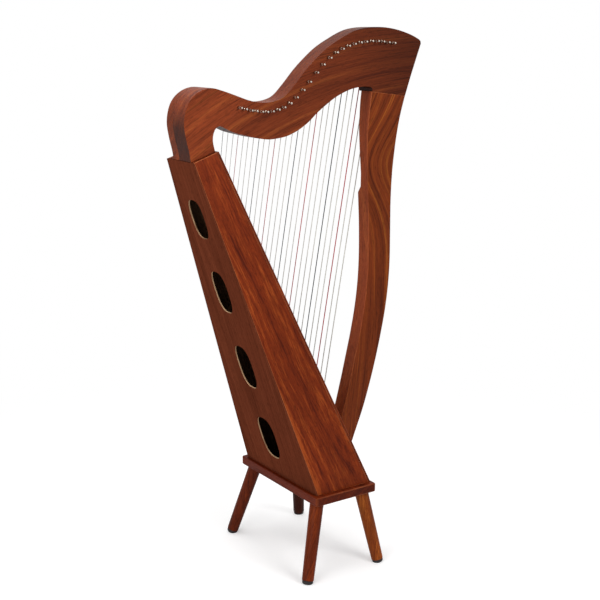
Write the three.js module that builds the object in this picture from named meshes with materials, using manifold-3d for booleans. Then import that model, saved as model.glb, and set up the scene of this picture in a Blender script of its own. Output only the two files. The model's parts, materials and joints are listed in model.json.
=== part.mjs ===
// A floor harp on four splayed legs: a tapered soundbox with four sound holes in its
// back, a curved neck, a bowed pillar, and a string with its own tuning pin for each note.
// Millimetres, +Z up. X runs from the player to the pillar, and +Y is the strings' side.
import * as THREE from 'three';
import { mergeVertices } from 'three/addons/utils/BufferGeometryUtils.js';
import Module from 'manifold-3d';

const wasm = await Module();
wasm.setup();

// Fits: between pieces that touch, and round what turns or passes through a hole.
const seatGap = 0.3;
const boreClearance = 0.25;
const stringClearance = 0.4;
const cutOverrun = 12;
const tenonLap = 4;

// Stand: a plate on four turned legs that splay both ways.
const legHeight = 179;
const plateThickness = 21;
const plateBackMargin = 9.5;
const plateFrontMargin = 6;
const plateSideMargin = 13;
const plateCornerRadius = 5;
const plateEdgeRound = 2.5;
const legTopDepthInset = 22;
const legTopWidthInset = 30;
const legBackSplay = 50;
const legFrontSplay = 29;
const legWidthSplay = 35;
const legTopRadius = 16.2;
const legFootRadius = 13.8;
const legTenonRadius = 10;
const legTenonLength = 12;
const tipHeight = 7;
const tipDome = 2;
const tipShares = [[0, 0], [0.5, 0.06], [0.8, 0.3], [0.97, 0.66], [1, 1], [0, 1]];
const tipStudRadius = 3;
const tipStudLength = 14;

// Soundbox: a flat-backed wedge, leaning back from the plate.
const boxDepth = 155;
const boxFootHalfWidth = 150;
const boxTopHalfWidth = 58;
const boxBackLength = 809;
const backLean = THREE.MathUtils.degToRad(18.56);
const boardLean = THREE.MathUtils.degToRad(23.85);
const boardThickness = 5.5;
const backThickness = 3;
const sideThickness = 8;
const topBlockHeight = 55;
const pillarBlockHeight = 84;
const pillarFootShare = 0.44;
const pillarBlockThickness = 34;
const backRailHeight = 26;
const backRailThickness = 18;
const liningSize = 11;
const braceWidth = 18;
const braceThickness = 10;

// Sound holes, from the foot up: long ovals down the middle of the back. Each has its
// height and length in shares of the back's length, and its width in shares of its length.
const soundHoleShares = [
  [0.1335, 0.1384, 0.60],
  [0.3733, 0.1360, 0.573],
  [0.6119, 0.1273, 0.583],
  [0.8319, 0.1137, 0.62],
];
const holeSquareness = 2.75;

// Neck: one thick plank, with a block glued to its strings' side at the shoulder.
const neckLength = 630;
const neckRise = 278.5;
const neckOverhang = 15.5;
const neckNearFace = 46;
const neckThickness = 49;
const shoulderBlockThickness = 27;
const shoulderBlockEdge = 7;
const shoulderBlendStart = 66;
const shoulderBlendEnd = 104;
const neckTenonLength = 30;
const neckTenonWidth = 32;
const neckTenonDepth = 38;

// Pillar: a bowed post between the foot of the soundboard and the end of the neck.
const pillarWidth = 65;
const pillarHeadThickness = 40;
const pillarFootThickness = 37;
const pillarTenonLength = 32;
const pillarTenonWidth = 16;
const pillarTenonDepth = 24;
const reliefDepth = 14.5;

// Strings and what holds them.
const stringCount = 27;
const firstStringFromTop = 68;
const lastStringFromFoot = 125;
const stringSpreadShare = 0.085;
const firstPinShare = 0.2127;
const lastPinShare = 0.8645;
const trebleStringRadius = 0.5;
const bassStringRadius = 1.2;
const stringPlaneAtNeck = 11.5;
const windingPlane = 14.5;
const outerRibThickness = 4;
const outerRibFootWidth = 32;
const outerRibTopWidth = 18;
const outerRibMargin = 30;
const innerRibThickness = 5;
const innerRibFootWidth = 36;
const innerRibTopWidth = 22;
const ribEndMargin = 8;
const anchorRailRadius = 1.1;
const anchorRailDepth = 8;
const anchorRailOffset = 4;

// Tuning pins go right through the neck; bridge pins stand in its strings' side.
const pinRadius = 3.1;
const pinHeadLength = 9;
const pinHeadTaper = 0.3;
const pinNearLength = 15;
const pinFarLength = 22;
const pinEyeInset = 3;
const pinSideStep = 3.3;
const bridgeDrop = 27;
const bridgeRadius = 2;
const bridgeFarLength = 13;
const bridgeDepth = 14;
const bridgeRailWidth = 2.8;

const wood = { color: 0x8a3a1c, roughness: 0.42, metalness: 0 };
const darkWood = { color: 0x6b2d1a, roughness: 0.45, metalness: 0 };
const innerWood = { color: 0xb98a5a, roughness: 0.7, metalness: 0 };
const nickel = { color: 0xc9c6bd, roughness: 0.25, metalness: 1 };
const rubber = { color: 0x1b1817, roughness: 0.85, metalness: 0 };

const vector = (x, y, z) => new THREE.Vector3(x, y, z);

// Solids: a closed geometry goes in, and the result of the cuts comes back out.
function solidOf(geometry) {
  const bare = new THREE.BufferGeometry();
  const plain = geometry.index ? geometry.toNonIndexed() : geometry;
  bare.setAttribute('position', plain.getAttribute('position').clone());
  const merged = mergeVertices(bare, 1e-4);
  return new wasm.Manifold(new wasm.Mesh({
    numProp: 3,
    vertProperties: new Float32Array(merged.getAttribute('position').array),
    triVerts: new Uint32Array(merged.index.array),
  }));
}

function geometryOf(solid) {
  const mesh = solid.getMesh();
  const geometry = new THREE.BufferGeometry();
  geometry.setAttribute('position', new THREE.BufferAttribute(mesh.vertProperties, mesh.numProp));
  geometry.setIndex(new THREE.BufferAttribute(mesh.triVerts, 1));
  const faceted = geometry.toNonIndexed();
  faceted.computeVertexNormals();
  return faceted;
}

function unionOf(solids) {
  return solids.reduce((whole, solid) => whole.add(solid));
}

// An outline in the XZ plane, [x, z] points, made solid from yLow to yHigh.
function plankXZ(outline, yLow, yHigh, holes = []) {
  const shape = new THREE.Shape(outline.map(([x, z]) => new THREE.Vector2(x, z)));
  for (const hole of holes) {
    shape.holes.push(new THREE.Path(hole.map(([x, z]) => new THREE.Vector2(x, z))));
  }
  const geometry = new THREE.ExtrudeGeometry(shape, { depth: yHigh - yLow, bevelEnabled: false });
  geometry.rotateX(Math.PI / 2);
  geometry.translate(0, yHigh, 0);
  return solidOf(geometry);
}

// An outline in the YZ plane, [y, z] points, made solid from xLow to xHigh.
function plankYZ(outline, xLow, xHigh) {
  const shape = new THREE.Shape(outline.map(([y, z]) => new THREE.Vector2(y, z)));
  const geometry = new THREE.ExtrudeGeometry(shape, { depth: xHigh - xLow, bevelEnabled: false });
  geometry.rotateX(Math.PI / 2);
  geometry.rotateZ(Math.PI / 2);
  geometry.translate(xLow, 0, 0);
  return solidOf(geometry);
}

// An outline in plan, [x, y] points, made solid from zLow to zHigh.
function plankXY(outline, zLow, zHigh) {
  const shape = new THREE.Shape(outline.map(([x, y]) => new THREE.Vector2(x, y)));
  const geometry = new THREE.ExtrudeGeometry(shape, { depth: zHigh - zLow, bevelEnabled: false });
  geometry.translate(0, 0, zLow);
  return solidOf(geometry);
}

// A round rod from one point to another.
function rod(from, to, radius, sides) {
  const along = to.clone().sub(from);
  const geometry = new THREE.CylinderGeometry(radius, radius, along.length(), sides);
  const way = along.clone().normalize();
  geometry.applyQuaternion(new THREE.Quaternion().setFromUnitVectors(vector(0, 1, 0), way));
  const middle = from.clone().add(to).multiplyScalar(0.5);
  geometry.translate(middle.x, middle.y, middle.z);
  return solidOf(geometry);
}

// A turned piece: [radius, height] points spun about a line from base along axis.
function turned(profile, sides, base, axis) {
  const geometry = new THREE.LatheGeometry(profile.map(([r, h]) => new THREE.Vector2(r, h)), sides);
  geometry.applyQuaternion(new THREE.Quaternion().setFromUnitVectors(vector(0, 1, 0), axis));
  geometry.translate(base.x, base.y, base.z);
  return solidOf(geometry);
}

// A solid through a row of rings that all have the same number of corners.
function loft(rings) {
  const corners = [];
  const sides = rings[0].length;
  const [first, last] = [rings[0], rings[rings.length - 1]];
  for (let j = 2; j < sides; j += 1) {
    corners.push(first[0], first[j], first[j - 1], last[0], last[j - 1], last[j]);
  }
  for (let i = 1; i < rings.length; i += 1) {
    for (let j = 0; j < sides; j += 1) {
      const next = (j + 1) % sides;
      const [a, b, c, d] = [rings[i - 1][j], rings[i - 1][next], rings[i][next], rings[i][j]];
      corners.push(a, b, c, a, c, d);
    }
  }
  return solidOf(new THREE.BufferGeometry().setFromPoints(corners));
}

// A wire of even thickness through a row of points, mitred where it bends.
function wire(points, radius, sides) {
  const ways = points.slice(1).map((point, i) => point.clone().sub(points[i]).normalize());
  const across = vector(0, 1, 0).cross(ways[0]).normalize();
  const upright = ways[0].clone().cross(across);
  const rings = [Array.from({ length: sides }, (_, j) => {
    const angle = j / sides * Math.PI * 2;
    return points[0].clone()
      .addScaledVector(across, radius * Math.cos(angle))
      .addScaledVector(upright, radius * Math.sin(angle));
  })];
  ways.forEach((way, i) => {
    const mitre = way.clone().add(ways[i + 1] ?? way);
    rings.push(rings[i].map((corner) => {
      const left = points[i + 1].clone().sub(corner).dot(mitre) / way.dot(mitre);
      return corner.clone().addScaledVector(way, left);
    }));
  });
  return loft(rings);
}

// Lines in the XZ plane: a point, a direction, and the side that faces into the soundbox.
function line(x, z, dx, dz, inX, inZ) {
  return { x, z, dx, dz, inX, inZ };
}

function pointOn(edge, along, inwards = 0) {
  return [edge.x + edge.dx * along + edge.inX * inwards, edge.z + edge.dz * along + edge.inZ * inwards];
}

function inset(edge, distance) {
  const [x, z] = pointOn(edge, 0, distance);
  return line(x, z, edge.dx, edge.dz, edge.inX, edge.inZ);
}

function crossing(a, b) {
  const spread = a.dx * b.dz - a.dz * b.dx;
  const along = ((b.x - a.x) * b.dz - (b.z - a.z) * b.dx) / spread;
  return pointOn(a, along);
}

function between(back, front, foot, head) {
  return [crossing(back, foot), crossing(front, foot), crossing(front, head), crossing(back, head)];
}

const plateUnderside = legHeight;
const plateTop = legHeight + plateThickness;
const plateDepth = plateBackMargin + boxDepth + plateFrontMargin;
const plateWidth = (boxFootHalfWidth + plateSideMargin) * 2;
const boxBackX = plateBackMargin - plateDepth / 2;
const boxFrontX = boxBackX + boxDepth;
const backSine = Math.sin(backLean);
const backCosine = Math.cos(backLean);
const boardSine = Math.sin(boardLean);
const boardCosine = Math.cos(boardLean);
const floorLine = line(boxBackX, plateTop, 1, 0, 0, 1);
const backLine = line(boxBackX, plateTop, -backSine, backCosine, backCosine, backSine);
const boardLine = line(boxFrontX, plateTop, -boardSine, boardCosine, -boardCosine, -boardSine);
const [topX, topZ] = pointOn(backLine, boxBackLength);
const topLine = line(topX, topZ, backCosine, backSine, backSine, -backCosine);
const footLine = inset(floorLine, seatGap);
const [topFrontX, topFrontZ] = crossing(boardLine, topLine);
const boardLength = Math.hypot(topFrontX - boxFrontX, topFrontZ - plateTop);
const topLength = Math.hypot(topFrontX - topX, topFrontZ - topZ);
const backInner = inset(backLine, backThickness + seatGap);
const boardInner = inset(boardLine, boardThickness + seatGap);
const sideInner = sideThickness + seatGap;

// Half the soundbox's width at a height, and the space between two widths on one side.
function halfWidthAt(z) {
  return boxFootHalfWidth + (boxTopHalfWidth - boxFootHalfWidth) * (z - plateTop) / (topZ - plateTop);
}

const spaceLow = plateTop - cutOverrun;
const spaceHigh = topFrontZ + cutOverrun;
const spaceBack = topX - cutOverrun;
const spaceFront = boxFrontX + cutOverrun;

function withinWidth(outline, insetEachSide) {
  const low = halfWidthAt(spaceLow) - insetEachSide;
  const high = halfWidthAt(spaceHigh) - insetEachSide;
  const widths = [[-low, spaceLow], [low, spaceLow], [high, spaceHigh], [-high, spaceHigh]];
  const space = plankYZ(widths, spaceBack, spaceFront);
  return plankXZ(outline, -boxFootHalfWidth, boxFootHalfWidth).intersect(space);
}

function alongSide(outline, outerInset, innerInset, side) {
  const widths = [
    [halfWidthAt(spaceLow) - innerInset, spaceLow],
    [halfWidthAt(spaceLow) - outerInset, spaceLow],
    [halfWidthAt(spaceHigh) - outerInset, spaceHigh],
    [halfWidthAt(spaceHigh) - innerInset, spaceHigh],
  ];
  const outlineYZ = side > 0 ? widths : widths.map(([y, z]) => [-y, z]).reverse();
  const reach = boxFootHalfWidth + cutOverrun;
  return plankXZ(outline, -reach, reach).intersect(plankYZ(outlineYZ, spaceBack, spaceFront));
}

// A tapered strip down the middle of the soundboard.
function centreStrip(outline, footHalfWidth, topHalfWidth) {
  const strip = [
    [-footHalfWidth, plateTop], [footHalfWidth, plateTop],
    [topHalfWidth, spaceHigh], [-topHalfWidth, spaceHigh],
  ];
  return plankXZ(outline, -footHalfWidth, footHalfWidth).intersect(plankYZ(strip, spaceBack, spaceFront));
}

// The end of a board or rib, square to the soundboard, at a distance from its foot.
function squareToBoard(fromFoot) {
  const [x, z] = pointOn(boardLine, fromFoot);
  return line(x, z, boardLine.inX, boardLine.inZ, boardLine.dx, boardLine.dz);
}

function squareToBack(fromFoot) {
  const [x, z] = pointOn(backLine, fromFoot);
  return line(x, z, backLine.inX, backLine.inZ, backLine.dx, backLine.dz);
}

// A tenon across an edge: centred along it, from a lap outside it to a depth inside.
function tenonAt(edge, along, length, depth, yMiddle, width, grow) {
  const half = length / 2 + grow;
  const outline = [
    pointOn(edge, along - half, -tenonLap), pointOn(edge, along + half, -tenonLap),
    pointOn(edge, along + half, depth + grow), pointOn(edge, along - half, depth + grow),
  ];
  const wound = edge.dx * edge.inZ - edge.dz * edge.inX > 0 ? outline : outline.reverse();
  return plankXZ(wound, yMiddle - width / 2 - grow, yMiddle + width / 2 + grow);
}

// Neck outline, in shares of its length and rise from the soundbox's top back corner.
const neckTopShares = [
  [0.030, -0.040], [0.023, 0.065], [0.011, 0.175], [0.004, 0.285], [0.012, 0.392], [0.032, 0.470],
  [0.066, 0.525], [0.108, 0.547], [0.150, 0.526], [0.200, 0.489], [0.257, 0.446], [0.305, 0.428],
  [0.350, 0.431], [0.395, 0.463], [0.437, 0.548], [0.484, 0.661], [0.527, 0.749], [0.577, 0.836],
  [0.632, 0.905], [0.692, 0.966], [0.740, 0.991], [0.795, 1.0], [0.850, 0.994], [0.905, 0.972],
  [0.957, 0.938], [0.993, 0.903],
];
const neckTipShares = [[1.001, 0.889], [1.003, 0.868]];
const neckEndShares = [[0.960, 0.611], [0.934, 0.442]];
const neckThroatShares = [
  [0.781, 0.485], [0.7775, 0.519], [0.758, 0.527], [0.732, 0.526], [0.690, 0.512], [0.650, 0.483],
  [0.610, 0.441], [0.572, 0.387], [0.536, 0.330], [0.500, 0.262], [0.455, 0.200], [0.410, 0.161], [0.370, 0.146],
  [0.330, 0.142], [0.285, 0.157], [0.240, 0.181], [0.197, 0.207], [0.162, 0.241], [0.142, 0.262],
  [0.126, 0.252], [0.115, 0.208], [0.112, 0.155], [0.117, 0.100], [0.127, 0.012], [0.1306, -0.024],
];
const pinCurveShares = [
  [0.165, 0.421], [0.213, 0.396], [0.254, 0.374], [0.297, 0.3616], [0.324, 0.358], [0.360, 0.369],
  [0.386, 0.387], [0.411, 0.414], [0.4387, 0.460], [0.468, 0.5195], [0.496, 0.582], [0.524, 0.649],
  [0.552, 0.710], [0.581, 0.762], [0.6095, 0.803], [0.641, 0.837], [0.687, 0.868], [0.7365, 0.884],
  [0.781, 0.889], [0.824, 0.882], [0.865, 0.873], [0.903, 0.8625],
];

// Pillar, from the foot up: height and front edge in shares of its height and of its
// reach from the foot to the neck's end, and width in shares of its own width.
const pillarShares = [
  [-0.02, -0.045, 0.92],
  [0.03, 0.048, 0.90],
  [0.09, 0.177, 0.88],
  [0.16, 0.332, 0.93],
  [0.23, 0.458, 0.98],
  [0.30, 0.566, 1.01],
  [0.37, 0.657, 1.01],
  [0.44, 0.731, 1.01],
  [0.51, 0.776, 1.005],
  [0.58, 0.791, 1],
  [0.66, 0.785, 1],
  [0.73, 0.782, 1.04],
  [0.80, 0.797, 1.14],
  [0.86, 0.832, 1.25],
  [0.91, 0.875, 1.35],
  [0.96, 0.936, 1.44],
  [1.03, 1.056, 1.62],
];
// Where the strings' side of the pillar is pared away, and how deep, from the stop up.
const reliefShares = [
  [0.747, -0.08], [0.766, 0.80], [0.800, 1], [0.831, 0.90],
  [0.865, 0.72], [0.916, 0.41], [0.966, 0.15], [1.01, -0.08],
];

const neckStartX = topX - neckOverhang;

function onNeck([alongShare, riseShare]) {
  return [neckStartX + alongShare * neckLength, topZ + riseShare * neckRise];
}

function smooth(points, steps) {
  const curve = new THREE.SplineCurve(points.map(([x, z]) => new THREE.Vector2(x, z)));
  return curve.getSpacedPoints(steps).map((p) => [p.x, p.y]);
}

const neckTopSteps = 96;
const neckThroatSteps = 72;
const pinCurveSteps = 400;
const pillarSteps = 60;

const jointOuter = onNeck(neckEndShares[neckEndShares.length - 1]);
const jointInner = onNeck(neckThroatShares[0]);
const jointLength = Math.hypot(jointOuter[0] - jointInner[0], jointOuter[1] - jointInner[1]);
const jointLine = line(
  jointInner[0], jointInner[1],
  (jointOuter[0] - jointInner[0]) / jointLength, (jointOuter[1] - jointInner[1]) / jointLength,
  (jointInner[1] - jointOuter[1]) / jointLength, (jointOuter[0] - jointInner[0]) / jointLength,
);

const neckOutline = [
  ...smooth(neckTopShares.map(onNeck), neckTopSteps),
  ...[...neckTipShares, ...neckEndShares].map(onNeck),
  ...smooth(neckThroatShares.map(onNeck), neckThroatSteps),
].reverse();

const pillarHeight = jointOuter[1] - plateTop;
const pillarReach = jointOuter[0] - boxFrontX;
const pillarNearY = -neckNearFace;
const pillarHeadMiddleY = pillarNearY + pillarHeadThickness / 2;
const pillarFootMiddleY = pillarNearY + pillarFootThickness / 2;

function pillarEdge([heightShare, reachShare], width) {
  return [boxFrontX + reachShare * pillarReach - width, plateTop + heightShare * pillarHeight];
}

// The strings' side of the pillar, which thickens evenly from foot to head.
function pillarFarAt(z) {
  const share = (z - plateTop) / pillarHeight;
  return pillarNearY + pillarFootThickness + (pillarHeadThickness - pillarFootThickness) * share;
}

const pillarInner = smooth(pillarShares.map((row) => pillarEdge(row, row[2] * pillarWidth)), pillarSteps);
const pillarOuter = smooth(pillarShares.map((row) => pillarEdge(row, 0)), pillarSteps).reverse();

function xAtHeight(points, z) {
  for (let i = 1; i < points.length; i += 1) {
    const [x0, z0] = points[i - 1];
    const [x1, z1] = points[i];
    if (z <= Math.max(z0, z1) && z >= Math.min(z0, z1)) {
      return x0 + (x1 - x0) * (z - z0) / (z1 - z0);
    }
  }
  return points[points.length - 1][0];
}

// Strings: each leaves the soundboard rib, rises at its lean, bends round its bridge pin
// and ends on its tuning pin. The first is the shortest. The straight part of a string
// points past its tuning pin by pinSideStep, so that it presses on its bridge pin.
const pinCurve = smooth(pinCurveShares.map(onNeck), pinCurveSteps);
const neckFarY = neckThickness - neckNearFace;
const ribOuterDistance = seatGap + outerRibThickness;
const ribInnerDistance = boardThickness + seatGap + innerRibThickness;

function stringRadius(share) {
  return trebleStringRadius + (bassStringRadius - trebleStringRadius) * share;
}

function exitAt(share) {
  const spread = share + stringSpreadShare * share * (share - 1);
  const firstAlong = boardLength - firstStringFromTop;
  const along = firstAlong - (firstAlong - lastStringFromFoot) * spread;
  const [x, z] = pointOn(boardLine, along, -ribOuterDistance - stringRadius(share) - stringClearance);
  return { along, x, z };
}

// The pin nearest to a line, given by the miss of each point of the pins' curve.
function pinNearest(missOf) {
  return pinCurve.reduce((best, point) => (Math.abs(missOf(point)) < Math.abs(missOf(best)) ? point : best));
}

function leanTo(pinShare, share) {
  const [pinX, pinZ] = pinNearest(([x]) => x - onNeck([pinShare, 0])[0]);
  const { x, z } = exitAt(share);
  return Math.atan2(pinX + pinSideStep - x, pinZ - z);
}

const firstLean = leanTo(firstPinShare, 0);
const lastLean = leanTo(lastPinShare, 1);

function stringAt(index) {
  const share = index / (stringCount - 1);
  const radius = stringRadius(share);
  const { along, x: exitX, z: exitZ } = exitAt(share);
  const lean = firstLean + (lastLean - firstLean) * share;
  const leanX = Math.sin(lean);
  const leanZ = Math.cos(lean);
  const missOf = ([x, z]) => (x + pinSideStep - exitX) * leanZ - (z - exitZ) * leanX;
  const [pinX, pinZ] = pinNearest(missOf);
  const bendX = pinX + pinSideStep - bridgeDrop * leanX;
  const bendZ = pinZ - bridgeDrop * leanZ;
  const octavePlace = index % 7;
  const colour = octavePlace === 0 ? 'black' : octavePlace === 3 ? 'red' : 'natural';
  return {
    radius,
    colour,
    along,
    inner: pointOn(boardLine, along, ribInnerDistance),
    exit: vector(exitX, 0, exitZ),
    bend: vector(bendX, stringPlaneAtNeck, bendZ),
    end: vector(pinX - pinRadius - radius - seatGap, windingPlane, pinZ),
    pin: vector(pinX, 0, pinZ),
    bridge: vector(bendX - bridgeRadius - radius - seatGap, 0, bendZ),
  };
}

const strings = Array.from({ length: stringCount }, (_, index) => stringAt(index));

const harp = new THREE.Group();
harp.name = 'harp';

function addNode(name, solid, finish, parent = harp) {
  const mesh = new THREE.Mesh(geometryOf(solid), new THREE.MeshStandardMaterial(finish));
  mesh.name = name;
  parent.add(mesh);
}

// Round holes for the strings, square to the soundboard.
const stringHoleSides = 6;
const stringHoles = unionOf(strings.map(({ along, radius }) => {
  const [x0, z0] = pointOn(boardLine, along, -ribOuterDistance - seatGap * 2);
  const [x1, z1] = pointOn(boardLine, along, ribInnerDistance + seatGap * 2);
  return rod(vector(x0, 0, z0), vector(x1, 0, z1), radius + stringClearance, stringHoleSides);
}));

// Soundbox panels.
const pillarFoot = pillarBlockHeight * pillarFootShare;

function pillarFootTenon(grow) {
  const depth = boardThickness + seatGap + pillarTenonDepth;
  const [length, width] = [pillarTenonLength, pillarTenonWidth];
  return tenonAt(boardLine, pillarFoot, length, depth, pillarFootMiddleY, width, grow);
}

const soundboard = withinWidth(between(inset(boardLine, boardThickness), boardLine, footLine, topLine), 0);
addNode('soundboard', soundboard.subtract(stringHoles).subtract(pillarFootTenon(seatGap)), wood);

const ovalSteps = 36;

const soundHoles = soundHoleShares.map(([heightShare, lengthShare, widthShare]) => {
  const length = lengthShare * boxBackLength;
  return { height: heightShare * boxBackLength, length, width: widthShare * length };
});

function soundHole({ height, length, width }) {
  const shape = new THREE.Shape(Array.from({ length: ovalSteps }, (_, i) => {
    const angle = i / ovalSteps * Math.PI * 2;
    const c = Math.cos(angle);
    const s = Math.sin(angle);
    const across = Math.sign(c) * Math.abs(c) ** (2 / holeSquareness);
    const up = Math.sign(s) * Math.abs(s) ** (2 / holeSquareness);
    return new THREE.Vector2(across * width / 2, up * length / 2);
  }));
  const depth = backThickness + cutOverrun * 2;
  const geometry = new THREE.ExtrudeGeometry(shape, { depth, bevelEnabled: false });
  geometry.translate(0, 0, -cutOverrun);
  const [x, z] = pointOn(backLine, height);
  const upBack = vector(backLine.dx, 0, backLine.dz);
  const intoBox = vector(backLine.inX, 0, backLine.inZ);
  geometry.applyMatrix4(new THREE.Matrix4().makeBasis(vector(0, 1, 0), upBack, intoBox).setPosition(x, 0, z));
  return solidOf(geometry);
}

const backPanel = withinWidth(between(backLine, inset(backLine, backThickness), footLine, topLine), 0);
addNode('back_panel', backPanel.subtract(unionOf(soundHoles.map(soundHole))), darkWood);

const sideOutline = between(backInner, boardInner, footLine, topLine);
addNode('side_panel_right', alongSide(sideOutline, 0, sideThickness, -1), wood);
addNode('side_panel_left', alongSide(sideOutline, 0, sideThickness, 1), wood);

// Blocks, rail, linings and braces inside the soundbox.
const neckMiddleY = neckThickness / 2 - neckNearFace;

function neckFootTenon(grow) {
  const [length, depth, width] = [neckTenonLength, neckTenonDepth, neckTenonWidth];
  return tenonAt(topLine, topLength / 2, length, depth, neckMiddleY, width, grow);
}

const topBlockOutline = between(backInner, boardInner, inset(topLine, topBlockHeight), topLine);
const topBlock = withinWidth(topBlockOutline, sideInner);
addNode('top_block', topBlock.subtract(neckFootTenon(seatGap)), innerWood);

const blockTop = inset(floorLine, pillarBlockHeight);
const blockBack = inset(boardInner, pillarBlockThickness);
const pillarBlock = withinWidth(between(blockBack, boardInner, footLine, blockTop), sideInner);
addNode('pillar_block', pillarBlock.subtract(pillarFootTenon(seatGap)), innerWood);

const railTop = inset(floorLine, backRailHeight);
const railFront = inset(backInner, backRailThickness);
const backRail = withinWidth(between(backInner, railFront, footLine, railTop), sideInner);
addNode('back_rail', backRail, innerWood);

const liningHead = inset(topLine, topBlockHeight + seatGap);
const boardLiningFoot = inset(blockTop, seatGap);
const backLiningFoot = inset(railTop, seatGap);
const boardLining = between(inset(boardInner, liningSize), boardInner, boardLiningFoot, liningHead);
const backLining = between(backInner, inset(backInner, liningSize), backLiningFoot, liningHead);
const liningInner = sideInner + liningSize;
for (const [word, side] of [['right', -1], ['left', 1]]) {
  addNode(`board_lining_${word}`, alongSide(boardLining, sideInner, liningInner, side), innerWood);
  addNode(`back_lining_${word}`, alongSide(backLining, sideInner, liningInner, side), innerWood);
}

for (let i = 1; i < soundHoles.length; i += 1) {
  const lower = soundHoles[i - 1].height + soundHoles[i - 1].length / 2;
  const upper = soundHoles[i].height - soundHoles[i].length / 2;
  const middle = (lower + upper) / 2;
  const outline = between(
    backInner, inset(backInner, braceThickness),
    squareToBack(middle - braceWidth / 2), squareToBack(middle + braceWidth / 2),
  );
  addNode(`back_brace_${i}`, withinWidth(outline, liningInner + seatGap), innerWood);
}

// String ribs, outside and inside the soundboard.
const outerRibFace = inset(boardLine, -ribOuterDistance);
const outerRibOutline = between(
  outerRibFace, inset(boardLine, -seatGap),
  squareToBoard(lastStringFromFoot - outerRibMargin), squareToBoard(boardLength - ribEndMargin),
).reverse();
const outerRib = centreStrip(outerRibOutline, outerRibFootWidth / 2, outerRibTopWidth / 2);
addNode('outer_string_rib', outerRib.subtract(stringHoles), darkWood);

const innerRibFace = inset(boardInner, innerRibThickness);
const innerRibOutline = between(innerRibFace, boardInner, boardLiningFoot, liningHead);
const innerRib = centreStrip(innerRibOutline, innerRibFootWidth / 2, innerRibTopWidth / 2);
addNode('inner_string_rib', innerRib.subtract(stringHoles), innerWood);

// Base plate, with a socket for each leg's tenon.
const legSides = 16;
const legs = [];
for (const [depthWord, depthSide] of [['back', -1], ['front', 1]]) {
  for (const [widthWord, widthSide] of [['right', -1], ['left', 1]]) {
    const headX = depthSide * (plateDepth / 2 - legTopDepthInset);
    const headY = widthSide * (plateWidth / 2 - legTopWidthInset);
    const depthSplay = depthSide < 0 ? -legBackSplay : legFrontSplay;
    const foot = vector(headX + depthSplay, headY + widthSide * legWidthSplay, 0);
    const axis = vector(headX, headY, plateUnderside).sub(foot);
    legs.push({ name: `${depthWord}_${widthWord}`, foot, length: axis.length(), axis: axis.normalize() });
  }
}

function legTenon({ foot, axis, length }, grow) {
  const low = length - legTenonRadius;
  const high = length + legTenonLength + grow;
  const radius = legTenonRadius + grow;
  return turned([[0, low], [radius, low], [radius, high], [0, high]], legSides, foot, axis);
}

function basePlate() {
  const halfX = plateDepth / 2;
  const halfY = plateWidth / 2;
  const r = plateCornerRadius;
  const shape = new THREE.Shape();
  shape.moveTo(-halfX + r, -halfY);
  shape.lineTo(halfX - r, -halfY);
  shape.quadraticCurveTo(halfX, -halfY, halfX, -halfY + r);
  shape.lineTo(halfX, halfY - r);
  shape.quadraticCurveTo(halfX, halfY, halfX - r, halfY);
  shape.lineTo(-halfX + r, halfY);
  shape.quadraticCurveTo(-halfX, halfY, -halfX, halfY - r);
  shape.lineTo(-halfX, -halfY + r);
  shape.quadraticCurveTo(-halfX, -halfY, -halfX + r, -halfY);
  const geometry = new THREE.ExtrudeGeometry(shape, {
    depth: plateThickness - plateEdgeRound * 2,
    bevelThickness: plateEdgeRound,
    bevelSize: plateEdgeRound,
    bevelOffset: -plateEdgeRound,
    bevelSegments: 3,
    curveSegments: 4,
  });
  geometry.translate(0, 0, plateUnderside + plateEdgeRound);
  return solidOf(geometry);
}

addNode('base_plate', basePlate().subtract(unionOf(legs.map((leg) => legTenon(leg, seatGap)))), wood);

// Legs, and the rubber tip nailed under each, worn flat on the floor.
const standSpace = plateWidth;

function slabUpTo(zLow, zHigh) {
  const far = standSpace;
  return plankXY([[-far, -far], [far, -far], [far, far], [-far, far]], zLow, zHigh);
}

const belowPlate = slabUpTo(0, plateUnderside - seatGap);
const aboveFloor = slabUpTo(0, plateTop);

function tipStud({ foot, axis }, grow) {
  const low = tipHeight - grow;
  const high = tipHeight + seatGap + tipStudLength + grow;
  const radius = tipStudRadius + grow;
  return turned([[0, low], [radius, low], [radius, high], [0, high]], legSides / 2, foot, axis);
}

for (const leg of legs) {
  const { foot, axis, length } = leg;
  const bottom = tipHeight + seatGap;
  const head = length + cutOverrun;
  const profile = [[0, bottom], [legFootRadius, bottom], [legTopRadius, head], [0, head]];
  const body = turned(profile, legSides, foot, axis).intersect(belowPlate);
  addNode(`leg_${leg.name}`, body.add(legTenon(leg, 0)).subtract(tipStud(leg, seatGap)), wood);
  const tipProfile = tipShares.map(([r, h]) => [r * legFootRadius, h * (tipHeight + tipDome) - tipDome]);
  const cap = turned(tipProfile, legSides, foot, axis).intersect(aboveFloor);
  addNode(`leg_tip_${leg.name}`, cap.add(tipStud({ foot, axis }, 0)), rubber);
}

// Pillar: trimmed to the soundboard, the plate and the neck's joint, with its tenons.
function pillarHeadTenon(grow) {
  const [length, width] = [pillarTenonLength, pillarTenonWidth];
  return tenonAt(jointLine, jointLength / 2, length, pillarTenonDepth, pillarHeadMiddleY, width, grow);
}

function pillarRelief() {
  const k = cutOverrun;
  return loft(reliefShares.map(([heightShare, depthShare]) => {
    const z = plateTop + heightShare * pillarHeight;
    const x = xAtHeight(pillarInner, z);
    const depth = reliefDepth * depthShare;
    const farY = pillarFarAt(z);
    return [
      vector(x - k, farY - depth - k, z),
      vector(x + depth + k, farY + k, z),
      vector(x - k, farY + k, z),
    ];
  }));
}

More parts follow.
